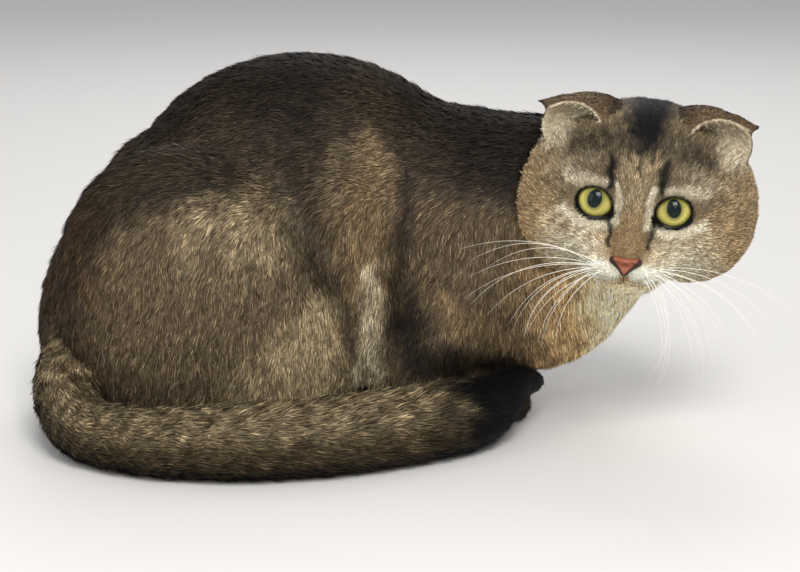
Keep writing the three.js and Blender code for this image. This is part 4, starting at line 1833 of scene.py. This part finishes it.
@dataclass(frozen=True)
class Nose(Feature):
    """The nose leather with its nostrils."""

    step: float = 0.45
    brick: Tone = (0.25, 0.075, 0.034)
    lower_edge: Tone = (0.03, 0.014, 0.01)
    upper_edge: Tone = (0.05, 0.02, 0.012)

    def build(self) -> bpy.types.Object:
        """Makes the nose."""
        width, front, height = self.cat.nose
        foot = [0, front + 2.6, height - 4.6]
        top = ellipsoid([0, front + 3.5, height + 0.6], [width / 2 + 0.4, 4.2, 1.9])
        wings = [limb(across([5.4, front + 3.2, height + 0.4], side), foot, 1.8, 1.4) for side in SIDES]
        form = blend(2.0, top, *wings)
        for side in SIDES:
            slit = ellipsoid(across([4.5, front - 0.2, height - 1.1], side), [2.6, 1.7, 0.7], 45 * side)
            form = press(0.6, form, slit)
        form = press(0.6, form, ellipsoid([0, front + 0.2, height - 3.5], [0.4, 1.2, 3.5]))
        spans = [(-8, 8), (front - 3, front + 10), (height - 9, height + 7)]
        points, faces = Netting(*[np.arange(low, high, self.step) for low, high in spans]).mesh(form)
        points = settled(form, points)
        x, _, z = points.T
        slant = np.abs(x) - (z - height + 5.2) * 0.78
        colour = np.tile(np.array(self.brick), (len(points), 1))
        colour = Markings.over(colour, self.lower_edge, smooth(slant, -0.2, 0.7))
        colour = Markings.over(colour, self.upper_edge, smooth(z - height, 1.6, 2.8) * 0.8)
        return self.placed("nose_leather", points, faces, Slot.NOSE, ("nose",), colour)


@dataclass(frozen=True)
class Mouth(Feature):
    """The line of the mouth."""

    thick: float = 0.32
    steps: int = 24
    sides: int = 6
    middle: tuple[tuple[float, float], ...] = ((0, -30.5), (0, -34), (0, -37))
    half: tuple[tuple[float, float], ...] = ((0, -36.6), (3.5, -37.8), (8, -37.6), (13, -36), (18, -35.4))

    def build(self) -> bpy.types.Object:
        """Makes the line of the mouth."""
        lines = [self.middle] + [tuple((x * side, z) for x, z in self.half) for side in SIDES]
        tubes = []
        for line in lines:
            knots = np.array(line, float)
            t = np.linspace(0, len(knots) - 1, self.steps)
            x, z = (np.interp(t, np.arange(len(knots)), knots[:, k]) for k in (0, 1))
            path = np.stack([x, self.cat.on_face(x, z, -70.0, 60) - 0.15, z], axis=1)
            tubes.append(tube(path, self.thick * np.sin(np.linspace(0.35, 2.8, len(x))), self.sides))
        return self.placed("mouth_line", *joined(tubes))


@dataclass(frozen=True)
class Whiskers(Feature):
    """Long white whiskers that fan out and droop on each side of the muzzle."""

    each: int = 15
    thick: float = 0.16
    steps: int = 20
    sides: int = 5
    seed: int = 5

    def build(self) -> bpy.types.Object:
        """Makes the whiskers."""
        rng = np.random.default_rng(self.seed)
        t = np.linspace(0, 1, self.steps)
        tubes = []
        for side in SIDES:
            first = 0 if side < 0 else -14
            for share in np.linspace(0, 1, self.each):
                x = side * rng.uniform(9, 18)
                z = -28 - 6 * share + rng.uniform(-0.6, 0.6)
                y = self.cat.on_face(np.array([x]), np.array([z]), -52.0, 40)[0]
                length = rng.uniform(52, 68) * (1 - 0.3 * share)
                angle = math.radians(first - 72 * share + rng.uniform(-5, 5))
                reach = np.array([side * math.cos(angle), -0.12, math.sin(angle)]) * length
                upward = np.array([-side * math.sin(angle), -0.3, math.cos(angle)]) * length
                rise = upward * rng.uniform(0.1, 0.17)
                bow = 4 * t * (1 - t)
                line = np.array([x, y, z]) + reach * t[:, None] + rise * bow[:, None]
                tubes.append(tube(line, self.thick * (1 - 0.85 * t), self.sides))
        return self.placed("whiskers", *joined(tubes))


# Camera and light


@dataclass(frozen=True)
class Light:
    """One soft square light."""

    name: str
    at: tuple[float, float, float]
    aim: tuple[float, float, float]
    size: float
    power: float

    def build(self) -> None:
        """Makes the light."""
        data = bpy.data.lights.new(self.name, "AREA")
        data.size, data.energy = self.size, self.power
        light = bpy.data.objects.new(self.name, data)
        light.location = self.at
        light.rotation_euler = (Vector(self.aim) - Vector(self.at)).to_track_quat("-Z", "Y").to_euler()
        bpy.context.scene.collection.objects.link(light)


@dataclass(frozen=True)
class PhotoStage:
    """The photo's camera, a pale floor and soft light."""

    camera_at: tuple[float, float, float] = (0, -945, 290)
    pitch: float = 13.5
    focal: float = 1900.0
    photo_width: float = 800.0
    sensor: float = 36.0
    clip: tuple[float, float] = (0.05, 20)
    floor_tone: Tone = (0.62, 0.6, 0.57)
    floor_corners: tuple[tuple[float, float, float], ...] = ((-4, -3, 0), (4, -3, 0), (4, 4, 0), (-4, 4, 0))
    sky_tone: Tone = (0.93, 0.95, 1)
    sky_strength: float = 0.6
    lights: tuple[Light, ...] = (
        Light("key", (0.25, -1.3, 1.5), (0.05, 0, 0.08), 0.8, 34),
        Light("fill", (-1.2, -1.0, 0.8), (0.0, 0, 0.08), 1.2, 8),
        Light("rim", (0.1, 1.2, 1.3), (0, 0, 0.1), 1.0, 10),
        Light("catch", (0.2, -1.0, 0.55), (0.12, -0.05, 0.12), 0.05, 1.0),
    )

    def build(self, studio: Studio) -> None:
        """Makes the camera, the floor, the lights and the sky."""
        scene = bpy.context.scene
        data = bpy.data.cameras.new("camera")
        data.sensor_width = self.sensor
        data.lens = self.focal / self.photo_width * self.sensor
        data.clip_start, data.clip_end = self.clip
        camera = bpy.data.objects.new("camera", data)
        camera.location = Vector(studio.points(np.array(self.camera_at)))
        camera.rotation_euler = (math.radians(90 - self.pitch), 0, 0)
        scene.collection.objects.link(camera)
        scene.camera = camera
        self._floor()
        for light in self.lights:
            light.build()
        world = bpy.data.worlds.new("world")
        world.use_nodes = True
        sky = {"Color": (*self.sky_tone, 1), "Strength": self.sky_strength}
        with_inputs(world.node_tree.nodes["Background"], sky)
        scene.world = world
        scene.view_settings.view_transform = "Standard"

    def _floor(self) -> None:
        """Makes the pale floor."""
        mesh = bpy.data.meshes.new("floor")
        mesh.from_pydata(self.floor_corners, [], [(0, 1, 2, 3)])
        finish = {"Base Color": (*self.floor_tone, 1), "Roughness": 0.7}
        mesh.materials.append(new_material("floor_pale", finish))
        floor = bpy.data.objects.new("floor", mesh)
        bpy.context.scene.collection.objects.link(floor)


def main() -> None:
    """Builds the cat piece by piece."""
    logging.basicConfig(level=logging.INFO, format="%(message)s")
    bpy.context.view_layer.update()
    cat = Cat()
    studio = Studio(cat)
    markings = Markings(cat)
    grain = coat_grain()
    skin = Skin(cat, markings)
    skin.shape()
    skin.build(studio, CoatFinish("skin_coat", grain=700, depth=0.35, bump=0.5).build(grain))
    hair = CoatFinish("coat_hair").build(grain)
    coat = Coat(skin, cat, markings)
    for spec in COAT:
        coat.patch(spec, studio, hair)
    wet = PlainFinish("eye_wet", None, 0.5, 0.0, coat=0.35).build(grain)
    rim = PlainFinish("rim_dark", (0.012, 0.009, 0.008), 0.35).build(grain)
    for side in SIDES:
        Eye(cat, studio, wet).build(side)
        Rim(cat, studio, rim).build(side)
    Nose(cat, studio, PlainFinish("nose_leather", None, 0.45, bump=0.4).build(grain)).build()
    Mouth(cat, studio, PlainFinish("mouth_dark", (0.07, 0.042, 0.032), 0.5).build(grain)).build()
    Whiskers(cat, studio, PlainFinish("whisker_white", (0.8, 0.76, 0.66), 0.35).build(grain)).build()
    PhotoStage().build(studio)


if __name__ == "__main__":
    main()
